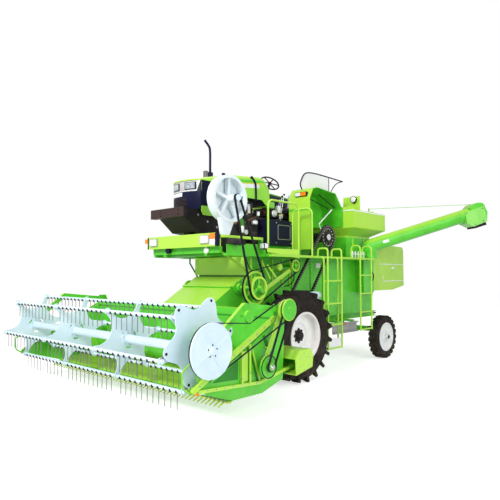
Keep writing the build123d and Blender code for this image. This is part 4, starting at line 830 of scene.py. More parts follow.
link = plates(
    ((-0.024, -0.018), (-0.024, 0.024), (-0.022, 0.022), 0.005, 1),
    ((0.018, 0.024), (-0.024, 0.024), (-0.022, 0.022), 0.005, 1),
    ((-0.017, 0.017), (-0.012, 0.006), (-0.028, 0.028), 0.003, 1),
)
moves = []
for x in (-CHAIN_X, CHAIN_X):
    for y, z, heading in chain_places(112):
        moves.append(Matrix.Translation((x, y, z)) @ Matrix.Rotation(heading, 4, "X"))
chains = joined("chain_links", copies(merged(link), moves), chain_steel)
# The rollers' lighter grey is partly bare steel and partly a painted highlight for the chain's glints
roller = round_bar((-0.028, 0.024, 0), (0.028, 0.024, 0), 0.015, 10, 0.002)
joined("chain_rollers", copies(roller, moves), grey_metal)
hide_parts("drive_chains")
for side, way in (("left", 1), ("right", -1)):
    out = (way, 0, 0)
    holes = ring_spots(16, 0.168, way * 0.9125, TOP_Y, TOP_Z)
    bolt_heads(f"sprocket_bolts_{side}", holes, out, 0.009, silver_metal, f"sprocket_{side}")
    boss = dish((way * 0.93, TOP_Y, TOP_Z), out, [(0, 0.062), (0.008, 0.060), (0.014, 0.034)], 28)
    joined(f"sprocket_boss_{side}", [boss], silver_metal, f"sprocket_{side}")

# Reel: clips that hold the tines, ribs and hub of the left disc, bolts of the spiders
REEL_MIDDLE = (REEL_Y, REEL_Z)
SPIDERS_X = (-2.05, -0.7, 0.7, 2.05)
clip_spots = [(middle + 0.115 * step, 0, 0) for middle in (-1.375, 0, 1.375) for step in range(-5, 6)]
for k, (y, z) in enumerate(bat_places(), 1):
    clip = plate((-0.012, 0.012), (y - 0.028, y - 0.004), (z - 0.030, z + 0.004), 0.004, 1)
    joined(f"tine_clips_{k}", copies(clip, shifted(*clip_spots)), clip_brown, f"bat_{k}")
disc = spokes((2.349, 2.358), (0.06, 0.285), (-0.010, 0.010), 0.003, 30, REEL_MIDDLE)
hub_rings = [(0, 0.085), (0.01, 0.083), (0.012, 0.05), (0.03, 0.045), (0.034, 0.03)]
disc.append(dish((2.349, *REEL_MIDDLE), LEFT, hub_rings))
disc.append(wall_ring(2.349, *REEL_MIDDLE, 0.312, 0.006))
joined("reel_disc_ribs", disc, pale_paint, "reel")
disc_bolts = ring_spots(5, 0.068, 2.358, *REEL_MIDDLE)
bolt_heads("reel_disc_bolts", disc_bolts, LEFT, 0.009, black_paint, "reel")
flanges = [dish((x + 0.011, *REEL_MIDDLE), LEFT, [(0, 0.105), (0.006, 0.104)], 40) for x in SPIDERS_X]
joined("reel_flanges", flanges, pale_paint, "reel")
spider_spots = []
for x in SPIDERS_X:
    spider_spots += ring_spots(6, 0.085, x + 0.017, *REEL_MIDDLE, 40)
bolt_heads("star_bolts", spider_spots, LEFT, 0.008, silver_metal, "reel")

# Knife sections, a triangle for every guard
fresh()
bpy.ops.mesh.primitive_cylinder_add(vertices=3, radius=0.042, depth=0.003, location=(0, 0, 0))
section = settle(bpy.context.object)
section.data.transform(Matrix.Rotation(pi, 4, "Z"))
edit(lambda: bpy.ops.mesh.bevel(offset=0.0008, segments=1, affect="EDGES"))
spots = [(0.0762 * (step - 27.5), -2.613, 0.2962) for step in range(56)]
joined("knife_sections", copies(section, shifted(*spots)), bright_steel, "cutter_knife")

# Header ends: bolts along the rails, lamps at the tips, the cover's boss and the auger's hub
COVER_MIDDLE = (-1.71, 1.36)
AUGER_MIDDLE = (-2.05, 0.655)
rail_bolts = row((2.226, -3.12, 0.56), (2.226, -1.88, 1.21), 0.16)
rail_bolts += row((2.226, -3.0, 0.496), (2.226, -2.16, 0.454), 0.14)
rail_bolts += [(2.226, y, z) for y, z in ((-2.42, 0.55), (-2.42, 0.8), (-2.28, 0.6), (-2.28, 0.88))]
side_bolts("rail_bolts", rail_bolts, 0.009, bright_steel, "header")
joined("tip_whites", paired(((2.191, 2.203), (-3.10, -3.02), (0.46, 0.50), 0.004)), lamp_glass, "header")
joined("tip_lenses", paired(((2.191, 2.204), (-3.17, -3.11), (0.46, 0.50), 0.004)), orange_lens, "header")
cover = [dish((2.399, *COVER_MIDDLE), LEFT, [(0, 0.138), (0.006, 0.134), (0.008, 0.04), (0.014, 0.036)])]
cover += spokes((2.399, 2.404), (0.04, 0.128), (-0.006, 0.006), 0.0015, 45, COVER_MIDDLE)
joined("cover_boss", cover, green_paint, "header")
auger_rings = [(0, 0.034), (0.014, 0.03), (0.016, 0.016), (0.022, 0.014)]
joined("auger_hub", [dish((2.389, *AUGER_MIDDLE), LEFT, auger_rings, 24)], bright_steel, "cross_auger")
box_bolts = ring_spots(6, 0.11, 2.379, -1.365, 0.64, 30)
bolt_heads("guard_bolts", box_bolts, LEFT, 0.008, bright_steel, "header")

# Bolts of the threshing body, both sides
BODY_X = 0.6575
panel_bolts = []
for y0, y1 in ((0.59, 1.09), (1.19, 1.51), (1.61, 1.93)):
    for z in (1.045, 2.035):
        panel_bolts += row((BODY_X, y0, z), (BODY_X, y1, z), 0.13)
    for y in (y0, y1):
        panel_bolts += row((BODY_X, y, 1.165), (BODY_X, y, 1.915), 0.125)
for z in (1.315, 1.535):
    panel_bolts += row((BODY_X, -0.39, z), (BODY_X, 0.45, z), 0.14)
side_bolts("panel_bolts", panel_bolts, 0.008, rail_paint)

# Grain tank: pale trims on the rims, seams, rivets, and the lamp on its plate
RIM_Z, SEAM_Z = (3.118, 3.142), (2.17, 2.635)
trims = plates(
    ((0.80, 1.106), (2.052, 2.064), (3.128, 3.152), 0.003),
    ((1.099, 1.107), (2.055, 3.385), RIM_Z, 0.003),
    ((-1.107, -1.099), (2.055, 3.385), RIM_Z, 0.003),
    ((-1.1, 1.1), (3.376, 3.386), RIM_Z, 0.003),
)
joined("tank_trims", trims, white_paint)
seams = paired(*[((0.80, 0.807), (y - 0.018, y + 0.018), SEAM_Z, 0.003) for y in (2.5, 2.94)])
for x in (-0.4, 0.4):
    seams += [plate((x - 0.018, x + 0.018), y, SEAM_Z, 0.003) for y in ((2.233, 2.241), (3.199, 3.207))]
joined("tank_seams", seams, rail_paint)
rivets = [spot for z in (2.815, 3.09) for spot in row((1.1, 2.12, z), (1.1, 3.32, z), 0.12)]
side_bolts("tank_rivets", rivets, 0.007, rail_paint, tall=0.4)
LAMP_SPOT = (0.98, 2.30, 3.385)
lamp_rings = [(0, 0.05), (0.03, 0.066), (0.062, 0.072), (0.07, 0.068), (0.066, 0.06)]
lamp_foot = plate((0.965, 0.995), (2.27, 2.302), (3.30, 3.33), 0.004)
joined("tank_lamp", [dish(LAMP_SPOT, AHEAD, lamp_rings), lamp_foot], navy_paint)
lens_rings = [(0.058, 0.061), (0.066, 0.059), (0.074, 0.04), (0.077, 0.018)]
joined("tank_lamp_lens", [dish(LAMP_SPOT, AHEAD, lens_rings)], lamp_glass)

# Hood: creases, blank plates, rivets and the door's handle
HOOD_X, CREASE_X = 0.8195, (0.819, 0.826)
creases = paired(
    (CREASE_X, (3.60, 4.80), (2.045, 2.062), 0.003),
    (CREASE_X, (3.775, 4.79), (1.652, 1.668), 0.003),
    (CREASE_X, (3.775, 3.791), (1.655, 1.79), 0.003),
)
joined("hood_creases", creases, white_paint)
joined("hood_plates", paired(((0.819, 0.824), (4.22, 4.34), (1.945, 1.995), 0.002)), white_paint)
rivets = row((HOOD_X, 3.33, 1.50), (HOOD_X, 3.33, 2.47), 0.14)
rivets += row((HOOD_X, 3.47, 1.48), (HOOD_X, 4.1, 1.48), 0.15)
rivets += row((HOOD_X, 3.46, 2.47), (HOOD_X, 4.66, 2.45), 0.15)
side_bolts("hood_rivets", rivets, 0.007, rail_paint, tall=0.4)
handle = [(0.849, 3.2, 1.87), (0.885, 3.2, 1.86), (0.895, 3.22, 1.77), (0.885, 3.2, 1.68), (0.849, 3.2, 1.67)]
joined("door_handle", [tube(handle, 0.011, 1)], navy_paint)

# Ladder foot plate, side lamp, blank plate and reflectors
joined("ladder_plate", [plate((1.292, 1.304), (0.835, 1.245), (0.475, 0.64), 0.005)], white_paint)
bolt_heads("ladder_bolts", [(1.303, y, 0.60) for y in (0.87, 1.21)], LEFT, 0.01, bright_steel)
shell = plate((0.99, 1.10), (-0.72, -0.60), (2.235, 2.345), 0.02, 3)
post = tube([(1.02, -0.56, 2.16), (1.04, -0.60, 2.2), (1.05, -0.64, 2.26)], 0.009, 1)
joined("side_lamp", [shell, post], navy_paint)
lenses = plates(
    ((1.005, 1.085), (-0.732, -0.718), (2.25, 2.33), 0.006),
    ((1.097, 1.106), (-0.71, -0.63), (2.25, 2.33), 0.004),
)
joined("side_lamp_lens", lenses, lamp_glass)
joined("body_plate", [plate((0.657, 0.664), (1.34, 1.48), (1.95, 2.04), 0.002)], white_paint)
reds = paired(
    ((0.999, 1.006), (1.80, 1.90), (0.81, 0.845), 0.002),
    ((0.48, 0.56), (3.899, 3.906), (0.89, 0.93), 0.002),
)
joined("red_reflectors", reds, red_lens)
header_red = plate((1.0, 1.07), (-1.796, -1.790), (1.36, 1.40), 0.002)
joined("header_reflectors", [header_red], red_lens, "header")

# Lamps on the fenders
FENDER_LENS = (0.858, 0.872), (3.335, 3.405), 0.006
housing = paired(((0.50, 0.78), (0.865, 0.935), (3.325, 3.415), 0.01, 3))
joined("fender_lamp_housings", housing, black_paint)
joined("fender_ambers", paired(((0.64, 0.765), *FENDER_LENS)), orange_lens)
joined("fender_whites", paired(((0.515, 0.635), *FENDER_LENS)), lamp_glass)


# Threshing drive on the left: belt arm, tensioner, ribs, hoses and the white can
TENSION_Y, TENSION_Z = -0.12, 1.95
arm = [flat_bar((-0.62, 1.52), (0.22, 1.93), 0.035, 0.93, 0.948)]
arm.append(flat_bar((-0.42, 1.98), (-0.12, 1.70), 0.018, 0.90, 0.912))
arm.append(flat_bar((-0.52, 2.04), (-0.30, 1.74), 0.014, 0.86, 0.872))
for y, z in ((-0.5, 1.575), (0.12, 1.885)):
    arm.append(plate((0.645, 0.94), (y - 0.02, y + 0.02), (z - 0.02, z + 0.02), 0.004))
joined("belt_arm", arm, bright_lime)
rings = [(0, 0.03), (0.004, 0.058), (0.012, 0.062), (0.018, 0.054)]
rings += [(0.03, 0.054), (0.036, 0.062), (0.044, 0.058)]
tensioner = [dish((0.90, TENSION_Y, TENSION_Z), LEFT, rings)]
tensioner.append(dish((0.944, TENSION_Y, TENSION_Z), LEFT, [(0, 0.028), (0.01, 0.026), (0.014, 0.014)], 20))
tensioner.append(round_bar((0.64, TENSION_Y, TENSION_Z), (0.9, TENSION_Y, TENSION_Z), 0.016))
joined("belt_tensioner", tensioner, bright_lime)
ribs = [((0.638, 0.668), (y - 0.014, y + 0.014), (1.60, 2.10), 0.003) for y in (-0.56, -0.28, 0.0, 0.28, 0.5)]
joined("body_ribs", paired(*ribs), bright_lime)
hoses = (
    ((1.0, -1.06, 2.10), (0.98, -0.98, 1.93), (0.93, -0.80, 1.86), (0.85, -0.50, 1.86), (0.70, -0.30, 1.90)),
    (
        *((1.0, 0.10, 2.10), (0.99, 0.17, 2.00), (0.96, 0.25, 1.88)),
        *((0.93, 0.28, 1.72), (0.80, 0.34, 1.62), (0.65, 0.36, 1.6)),
    ),
    ((0.30, 0.16, 2.95), (0.34, 0.3, 2.90), (0.36, 0.55, 2.93), (0.33, 0.8, 2.97), (0.22, 1.0, 2.90)),
    ((0.28, -0.2, 3.02), (0.33, -0.05, 2.98), (0.34, 0.15, 3.02), (0.28, 0.4, 2.93), (0.2, 0.5, 2.9)),
)
joined("hoses", [tube(route, 0.009, 1) for route in hoses], belt_rubber)
rings = [(0, 0.04), (0.006, 0.066), (0.02, 0.075), (0.22, 0.075), (0.234, 0.066), (0.24, 0.04)]
joined("white_can", [dish((1.05, 0.64, 1.43), BACK, rings)], pale_paint, slot="white_paint")
holder = [plate((0.655, 1.05), (y - 0.012, y + 0.012), (1.34, 1.36), 0.003) for y in (0.70, 0.82)]
joined("can_holder", holder, rail_paint)

# Engine's side: filters, housings, injector pipes, caps and the navy box with its outlined panel
bowls = (
    ((0.30, -0.42, 2.56), [(0, 0.02), (0.01, 0.038), (0.05, 0.044), (0.12, 0.044), (0.14, 0.036)], 24),
    ((0.30, 0.02, 2.90), [(0, 0.012), (0.01, 0.026), (0.08, 0.03), (0.10, 0.022)], 20),
)
joined("fuel_bowls", [dish(spot, UP, *form) for spot, *form in bowls], lamp_glass, slot="white_paint")
pots = (
    ((0.30, -0.08, 2.74), UP, [(0, 0.06), (0.05, 0.066), (0.06, 0.062), (0.075, 0.04), (0.09, 0.015)], 28),
    ((0.34, 0.42, 2.98), LEFT, [(0, 0.066), (0.02, 0.066), (0.03, 0.05), (0.05, 0.046), (0.06, 0.02)], 28),
    ((0.32, 0.62, 2.93), LEFT, [(0, 0.05), (0.03, 0.05), (0.04, 0.03), (0.06, 0.026)], 24),
)
housings = [dish(*pot) for pot in pots]
housings.append(round_bar((0.24, -0.34, 2.58), (0.34, -0.34, 2.58), 0.045))
housings.append(round_bar((0.24, -0.86, 2.62), (0.33, -0.86, 2.62), 0.06))
joined("silver_housings", housings, silver_metal)
pipes = []
for k in range(4):
    start, end = -0.62 + 0.11 * k, -0.34 + 0.03 * k
    route = [(0.27, start, 3.05), (0.315, start + 0.02, 3.04), (0.32, end, 2.96), (0.29, end, 2.90)]
    pipes.append(tube(route, 0.0045, 1))
route = [(0.31, -0.42, 2.72), (0.33, -0.30, 2.80), (0.32, -0.1, 2.86), (0.27, 0.05, 2.92)]
pipes.append(tube(route, 0.006, 1))
joined("injector_pipes", pipes, copper_metal)
rings = [(0, 0.02), (0.015, 0.018), (0.02, 0.008)]
knobs = [dish(spot, LEFT, rings, 16) for spot in ((0.26, 0.24, 3.0), (0.30, 0.98, 2.99), (0.28, -0.5, 2.86))]
joined("red_caps", knobs, red_paint)
rings = [(0, 0.018), (0.02, 0.016), (0.026, 0.008)]
knobs = [dish(spot, UP, rings, 16) for spot in ((0.22, -0.2, 3.15), (0.30, 0.72, 2.97))]
joined("yellow_caps", knobs, yellow_paint, slot="dark_plastic")
BOX_X = (0.4205, 0.4245)
outline = [plate(BOX_X, (0.45, 0.82), (z - 0.004, z + 0.004), 0.0015, 1) for z in (2.49, 2.76)]
outline += [plate(BOX_X, (y - 0.004, y + 0.004), (2.49, 2.76), 0.0015, 1) for y in (0.45, 0.82)]
joined("box_outline", outline, silver_metal)
box_bolts = [(BOX_X[0], y, z) for y in (0.16, 0.40, 0.85) for z in (2.42, 2.80)]
bolt_heads("box_bolts", box_bolts, LEFT, 0.009, silver_metal)

# Air pipe with its ball
route = [(0.374, -0.12, 3.17), (0.374, -0.122, 3.42), (0.372, -0.15, 3.52), (0.366, -0.23, 3.588)]
rings = [(0, 0.01), (0.004, 0.022), (0.02, 0.027), (0.036, 0.022), (0.042, 0.01)]
ball = dish((0.366, -0.215, 3.57), (-0.1, -0.7, 0.6), rings, 20)
joined("air_pipe", [tube(route, 0.019, 1), ball], navy_paint, slot="dark_plastic")


# Stripes and a blank band on the bonnet's sides
def bonnet_stripe(name, low, high, y0, y1, material):
    """A strip on both sides of the bonnet, low to high below its top line."""
    piece = plate((0.3605, 0.3625), (y0, y1), (-low, -high), 0.0007, 1)
    edit(lambda: bpy.ops.mesh.subdivide(number_cuts=6))
    for vertex in piece.data.vertices:
        y = vertex.co.y
        vertex.co.z += 3.57 + (y + 0.7) * (0.2 if y < -0.7 else 0.086)
    joined(name, both_sides([piece]), material)


bonnet_stripe("bonnet_green", 0.125, 0.078, -1.30, 0.10, green_paint)
bonnet_stripe("bonnet_yellow", 0.142, 0.128, -1.30, 0.10, yellow_paint)
bonnet_stripe("bonnet_band", 0.222, 0.148, -0.95, -0.02, white_paint)

# Instrument panel with its dials, and the levers beside the seat
panel = plate((-0.20, 0.20), (0.285, 0.305), (3.22, 3.44), 0.012, 3)
joined("instrument_panel", [panel], black_paint, slot="dark_plastic")
rings = [(0, 0.04), (0.006, 0.038), (0.007, 0.03)]
dials = [dish((x, 0.305, z), BACK, rings, 28) for x, z in ((-0.11, 3.36), (0, 3.37), (0.11, 3.36))]
joined("dials", dials, silver_metal)
levers, tops = [], []
for k in range(3):
    x, z = 0.05 * k, 0.03 * k
    route = [(0.10 + x, 0.78, 2.88), (0.13 + x, 0.80, 3.12), (0.14 + x, 0.86, 3.33 + z)]
    levers.append(tube(route, 0.008, 1))
    rings = [(0, 0.01), (0.006, 0.02), (0.03, 0.02), (0.038, 0.01)]
    tops.append(dish((0.14 + x, 0.856, 3.325 + z), (0, 0.25, 1), rings, 16))
joined("levers", levers, silver_metal)
joined("lever_tops", tops, black_paint, slot="dark_plastic")

# Tank front: the slanting trims; under the fender the bent rods; on the deck the row of valves
bend = ((0.50, 3.19), (0.24, 2.93), (0.32, 2.76))
trims = [tube([(way * x, 2.045, z) for x, z in bend], 0.008) for way in (1, -1)]
trims.append(flat_bar((1.17, 2.80), (1.62, 3.12), 0.012, 0.856, 0.866))
trims.append(flat_bar((1.17, 2.80), (1.25, 2.67), 0.010, 0.856, 0.866))
joined("slanting_trims", trims, white_paint)
rods = [tube([(0.70, 1.39, 3.42), (0.70, 1.78, 3.27), (0.70, 1.99, 3.20)], 0.009)]
rods.append(tube([(0.52, 1.05, 3.40), (0.52, 1.55, 3.30), (0.52, 1.99, 3.20)], 0.009))
joined("fender_rods", both_sides(rods), belt_rubber)
valve_rows = [2.06 + 0.11 * k for k in range(5)]
valves = [round_bar((1.06, y, 2.163), (1.06, y, 2.29), 0.014, 14) for y in valve_rows]
valves.append(plate((1.045, 1.075), (2.02, 2.54), (2.225, 2.245), 0.004))
joined("valve_row", valves, white_paint)

# Small lamps under the light bar
fog = dish((-0.37, -1.505, 2.225), AHEAD, [(0, 0.03), (0.02, 0.05), (0.06, 0.054), (0.07, 0.045)], 24)
joined("fog_lamp", [fog], navy_paint, slot="dark_plastic")
round_lamp = dish((0.57, -1.505, 2.205), AHEAD, [(0, 0.05), (0.02, 0.056), (0.034, 0.046), (0.04, 0.02)], 28)
joined("round_lamp", [round_lamp], lamp_glass)


# Driver's seat: a stuffed cushion and back on a black pan
def stuffed(shape, swell, lean=0.0, channels=()):
    """A pad puffed out by cloth under pressure, no point further than swell, with sewn channels."""
    piece = plate(*shape, 0.022, 3)
    piece.modifiers.new("even", "REMESH").voxel_size = 0.009
    take([piece])
    bpy.ops.object.modifier_apply(modifier="even")
    puff = piece.modifiers.new("puff", "CLOTH").settings
    puff.use_pressure = True
    puff.uniform_pressure_force = 4
    puff.effector_weights.gravity = 0
    puff.quality = 4
    for frame_number in range(1, 21):
        bpy.context.scene.frame_set(frame_number)
    shown = piece.evaluated_get(bpy.context.evaluated_depsgraph_get()).to_mesh()
    moved = [vertex.co.copy() for vertex in shown.vertices]
    piece.modifiers.remove(piece.modifiers["puff"])
    for vertex, spot in zip(piece.data.vertices, moved):
        step = spot - vertex.co
        if step.length > swell:
            step *= swell / step.length
        vertex.co += step
    bpy.context.scene.frame_set(1)
    middle_y, (low, high) = sum(shape[1]) / 2, shape[2]
    for vertex in piece.data.vertices:
        for x in channels:
            near = abs(vertex.co.x - x) / 0.012
            sunk = 0.006 * max(0, 1 - near * near)
            if lean and vertex.co.y < middle_y:
                vertex.co.y += sunk
            elif not lean and vertex.co.z > (low + high) / 2:
                vertex.co.z -= sunk
        vertex.co.y += lean * (vertex.co.z - low)
    return smooth(piece)


cushion_box = ((-0.205, 0.205), (1.065, 1.425), (3.085, 3.155))
cushion = stuffed(cushion_box, 0.014, channels=(-0.12, -0.04, 0.04, 0.12))
seat_cushion = joined("seat_cushion", [cushion], dark_vinyl)
# The back's pale tone is partly a painted highlight
back_box = ((-0.195, 0.195), (1.462, 1.508), (3.125, 3.515))
back_pad = stuffed(back_box, 0.012, 0.10, (-0.12, -0.06, 0.0, 0.06, 0.12))
seat_back = joined("seat_back", [back_pad], pale_vinyl)
REST_LOW = 3.11
rest = plate((-0.205, 0.205), (1.508, 1.530), (REST_LOW, 3.50), 0.008, 3)
for vertex in rest.data.vertices:
    vertex.co.y += 0.085 * (vertex.co.z - REST_LOW)
pan = plates(
    ((-0.225, 0.225), (1.055, 1.445), (3.05, 3.084), 0.010, 3),
    ((-0.12, 0.12), (1.21, 1.44), (3.0, 3.05), 0.004),
    ((-0.05, 0.05), (1.43, 1.54), (3.06, 3.12), 0.006),
)
arm_rests = paired(
    ((0.235, 0.265), (1.20, 1.50), (3.232, 3.258), 0.010, 3),
    ((0.225, 0.255), (1.445, 1.475), (3.06, 3.24), 0.006),
)
seat_pan = joined("seat_pan", [*pan, rest, *arm_rests], black_paint)
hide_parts("seat")

# Spout of the unloading auger: its hood, rubber lip, clips and handle, and a plate near the root
SPOUT_TURN, SPOUT_RISE, SPOUT_REACH = radians(50), radians(17.3), 2.45


def on_spout(piece):
    """Move a piece drawn along the tube, across it and up from its middle to the spout's place."""
    run = Vector((cos(SPOUT_TURN), sin(SPOUT_TURN), tan(SPOUT_RISE)))
    tip = Matrix.Translation(Vector((1.0, 2.85, 2.43)) + SPOUT_REACH * run)
    piece.data.transform(tip @ Matrix.Rotation(SPOUT_TURN, 4, "Z") @ Matrix.Rotation(-SPOUT_RISE, 4, "Y"))
    return piece


def outline_plate(points, x0, x1, edge=0.003):
    """A flat plate with a corner at each (y, z) point, between two X places."""
    fresh()
    bpy.ops.mesh.primitive_circle_add(vertices=len(points), radius=1, fill_type="NGON")
    piece = bpy.context.object
    for vertex, (y, z) in zip(piece.data.vertices, points):
        vertex.co = (x0, y, z)

    def thicken():
        bpy.ops.mesh.select_mode(type="FACE")
        bpy.ops.mesh.select_all(action="SELECT")
        bpy.ops.mesh.extrude_region_move(TRANSFORM_OT_translate={"value": (x1 - x0, 0, 0)})
        close_up()
        bpy.ops.mesh.bevel(offset=edge, segments=1, affect="EDGES")

    edit(thicken)
    return piece


hood_side = ((-0.30, 0.08), (0.165, 0.09), (0.142, -0.255), (-0.20, -0.28), (-0.33, -0.17))
spout_hood = outline_plate(hood_side, -0.1635, 0.1635)
spout_hood.data.transform(Matrix.Rotation(-pi / 2, 4, "Z"))
joined("spout_hood", [on_spout(spout_hood)], spout_paint, "unloader")
lip = on_spout(plate((-0.185, 0.10), (-0.160, 0.160), (-0.325, -0.262), 0.004))
joined("spout_lip", [lip], belt_rubber, "unloader")
rings = [(0, 0.013), (0.006, 0.012), (0.008, 0.006)]
clip_places = ((-0.27, 0.045), (0.12, 0.05), (0.05, -0.22), (-0.16, -0.24))
clips = [on_spout(dish((along, -0.1625, up), AHEAD, rings, 12)) for along, up in clip_places]
joined("spout_clips", clips, deep_green, "unloader")
handle_route = [(0.15, 0.10), (0.20, 0.14), (0.245, 0.12), (0.25, 0.04), (0.18, 0.0)]
handle = on_spout(tube([(along, -0.05, up) for along, up in handle_route], 0.013, 1))
joined("spout_handle", [handle], green_paint, "unloader")
blank = on_spout(plate((-2.30, -2.16), (-0.148, -0.142), (-0.03, 0.03), 0.002))
joined("root_plate", [blank], white_paint, "unloader")


# Reel's left end: the full star that keeps the bats upright, a bolt in each lobe
STAR_HUB_Y, STAR_HUB_Z = REEL_Y + 0.03, REEL_Z + 0.08
STAR_REACH, STAR_VALLEY, STAR_HOLE = 0.536, 0.385, 0.1205
STAR_X0, STAR_X1 = 2.104, 2.1155


def star_plate():
    """The six-lobed plate with its round hole."""
    fresh()
    bpy.ops.mesh.primitive_circle_add(vertices=144, radius=STAR_HOLE, rotation=(0, pi / 2, 0))
    piece = settle(bpy.context.object)
    grow = STAR_REACH / STAR_HOLE

    def widen():
        bpy.ops.mesh.select_mode(type="EDGE")
        bpy.ops.mesh.select_all(action="SELECT")
        bpy.ops.mesh.extrude_edges_move()
        bpy.ops.transform.resize(value=(1, grow, grow), center_override=(0, 0, 0))
        bpy.ops.mesh.select_all(action="SELECT")
        bpy.ops.mesh.extrude_region_move(TRANSFORM_OT_translate={"value": (STAR_X1 - STAR_X0, 0, 0)})
        close_up()

    edit(widen)
    for vertex in piece.data.vertices:
        radius = hypot(vertex.co.y, vertex.co.z)
        if radius > 2 * STAR_HOLE:
            lobe = abs(cos(3 * (atan2(vertex.co.z, vertex.co.y) - radians(10)))) ** 2.5
            scale = (STAR_VALLEY + (STAR_REACH - STAR_VALLEY) * lobe) / radius
            vertex.co.y *= scale
            vertex.co.z *= scale
    piece.data.transform(Matrix.Translation((STAR_X0, STAR_HUB_Y, STAR_HUB_Z)))
    return smooth(piece)


star = joined("star_plate", [star_plate()], pale_paint, "reel_eccentric")
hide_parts("eccentric_star")
lobe_spots = ring_spots(6, 0.5, STAR_X1, STAR_HUB_Y, STAR_HUB_Z, 10)
bolt_heads("lobe_bolts", lobe_spots, LEFT, 0.013, black_paint, "reel_eccentric", tall=0.4)

# Exhaust: a thin pipe with a bent tip, its clamp, the filler cap behind and a breather box
stack = [(0, -0.92, 3.55), (0, -0.92, 3.80), (0, -0.92, 4.03), (-0.01, -0.945, 4.10), (-0.045, -1.015, 4.19)]
clamp = dish((0, -0.92, 3.52), UP, [(0, 0.052), (0.095, 0.052), (0.11, 0.03)], 24)
cap = dish((0, -0.59, 3.57), UP, [(0, 0.02), (0.05, 0.02), (0.055, 0.034), (0.08, 0.034), (0.09, 0.02)], 24)
stack_pipe = joined("exhaust_pipe", [tube(stack, 0.021, 1, 8), clamp, cap], navy_paint)
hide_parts("exhaust")
joined("breather_box", [plate((-0.035, 0.03), (-1.055, -0.99), (3.49, 3.635), 0.008)], grey_metal)

# Driver's place: hoop, clear sheet, dark linings of the fenders, gearbox cover and small vessels
HOOP_X, HOOP_R = 0.60, 0.013
hoop = [(0.97, 3.487), (0.90, 3.56), (0.96, 3.69), (1.05, 3.81)]
hoop += [(1.20, 3.852), (1.45, 3.862), (1.9, 3.85), (2.43, 3.83)]
rail_end = [(HOOP_X, 2.40, 3.831), (HOOP_X, 2.44, 3.83), (0.46, 2.44, 3.825)]
rail_end += [(0.37, 2.38, 3.70), (0.35, 2.2, 3.4), (0.35, 2.06, 3.145)]
guard = [tube([(HOOP_X, y, z) for y, z in hoop], HOOP_R, 1)]
guard.append(tube([(HOOP_X, 1.9, 3.33), (HOOP_X, 1.9, 3.85)], 0.011))
guard.append(tube(rail_end, 0.010, 1))
guard_frame = joined("guard_frame", guard, navy_paint)
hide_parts("driver_guard")
sheet = [(0.97, 3.50), (0.915, 3.56), (0.97, 3.685), (1.06, 3.79), (1.20, 3.84), (1.45, 3.85), (1.89, 3.838)]
sheet += [(1.89, 3.40), (1.78, 3.475), (1.12, 3.525)]
joined("guard_sheet", [outline_plate(sheet, HOOP_X - 0.002, HOOP_X + 0.002, 0.001)], clear_sheet)
lining = [(0.90, 2.81), (0.895, 3.29), (0.985, 3.45), (1.12, 3.49), (1.77, 3.44), (1.99, 3.18), (2.03, 2.81)]
linings = both_sides([outline_plate(lining, 0.330, 0.3395)])
linings.append(plate((-0.343, 0.343), (0.234, 0.243), (3.115, 3.465), 0.002))
joined("dark_linings", linings, dark_vinyl, slot="dark_plastic")
cover = plates(
    ((-0.19, 0.19), (0.34, 1.02), (2.92, 3.03), 0.025, 3),
    ((-0.15, 0.17), (0.36, 0.62), (3.02, 3.10), 0.02, 3),
)
joined("gearbox_cover", cover, black_paint, slot="dark_plastic")
joined("small_tank", [plate((0.06, 0.21), (0.36, 0.62), (3.10, 3.23), 0.03, 4)], spout_paint)
can = dish((0.20, 0.72, 3.03), UP, [(0, 0.05), (0.02, 0.055), (0.12, 0.055), (0.14, 0.03)], 24)
joined("oil_can", [can], white_paint)

# Under the tractor: rails that carry the engine, braces, the dark pump, and a black sheet of painted shade
# under the deck
joined("engine_rails", paired(((0.24, 0.30), (-1.30, 1.00), (2.155, 2.368), 0.004)), green_paint)
joined("front_brace", [tube([(0.69, -1.46, 2.26), (0.66, -0.60, 1.86)], 0.020)], rail_paint)
side_strut = tube([(-0.86, -0.64, 2.12), (-0.86, -0.64, 2.03), (-0.645, -0.64, 1.78)], 0.015)
joined("side_strut", [side_strut], deep_green)
pump = [round_bar((0.972, -1.43, 2.345), (0.972, -1.16, 2.335), 0.042)]
pump.append(dish((0.972, -1.30, 2.34), BACK, [(0, 0.05), (0.015, 0.056), (0.04, 0.056), (0.05, 0.045)], 28))
pump.append(round_bar((0.93, -1.22, 2.34), (1.03, -1.22, 2.30), 0.03))
joined("oil_pump", pump, engine_iron)
# Painted shade: a black sheet that darkens the gap between the deck and the tractor
joined("under_deck_shade", [plate((0.56, 0.566), (-1.38, -0.60), (2.165, 2.50), 0.002)], black_paint)

# Header's left end: strips, dark green plates of painted shade under the rail and in the recesses, the
# auger's rim and the belt's strip
END_X = 2.190
strips = [plate((END_X, 2.204), (-2.40, -2.30), (0.50, 0.87), 0.004)]
strips.append(flat_bar((-2.225, 0.87), (-2.085, 0.47), 0.014, END_X, 2.214))
joined("end_strips", strips, bright_lime, "header")
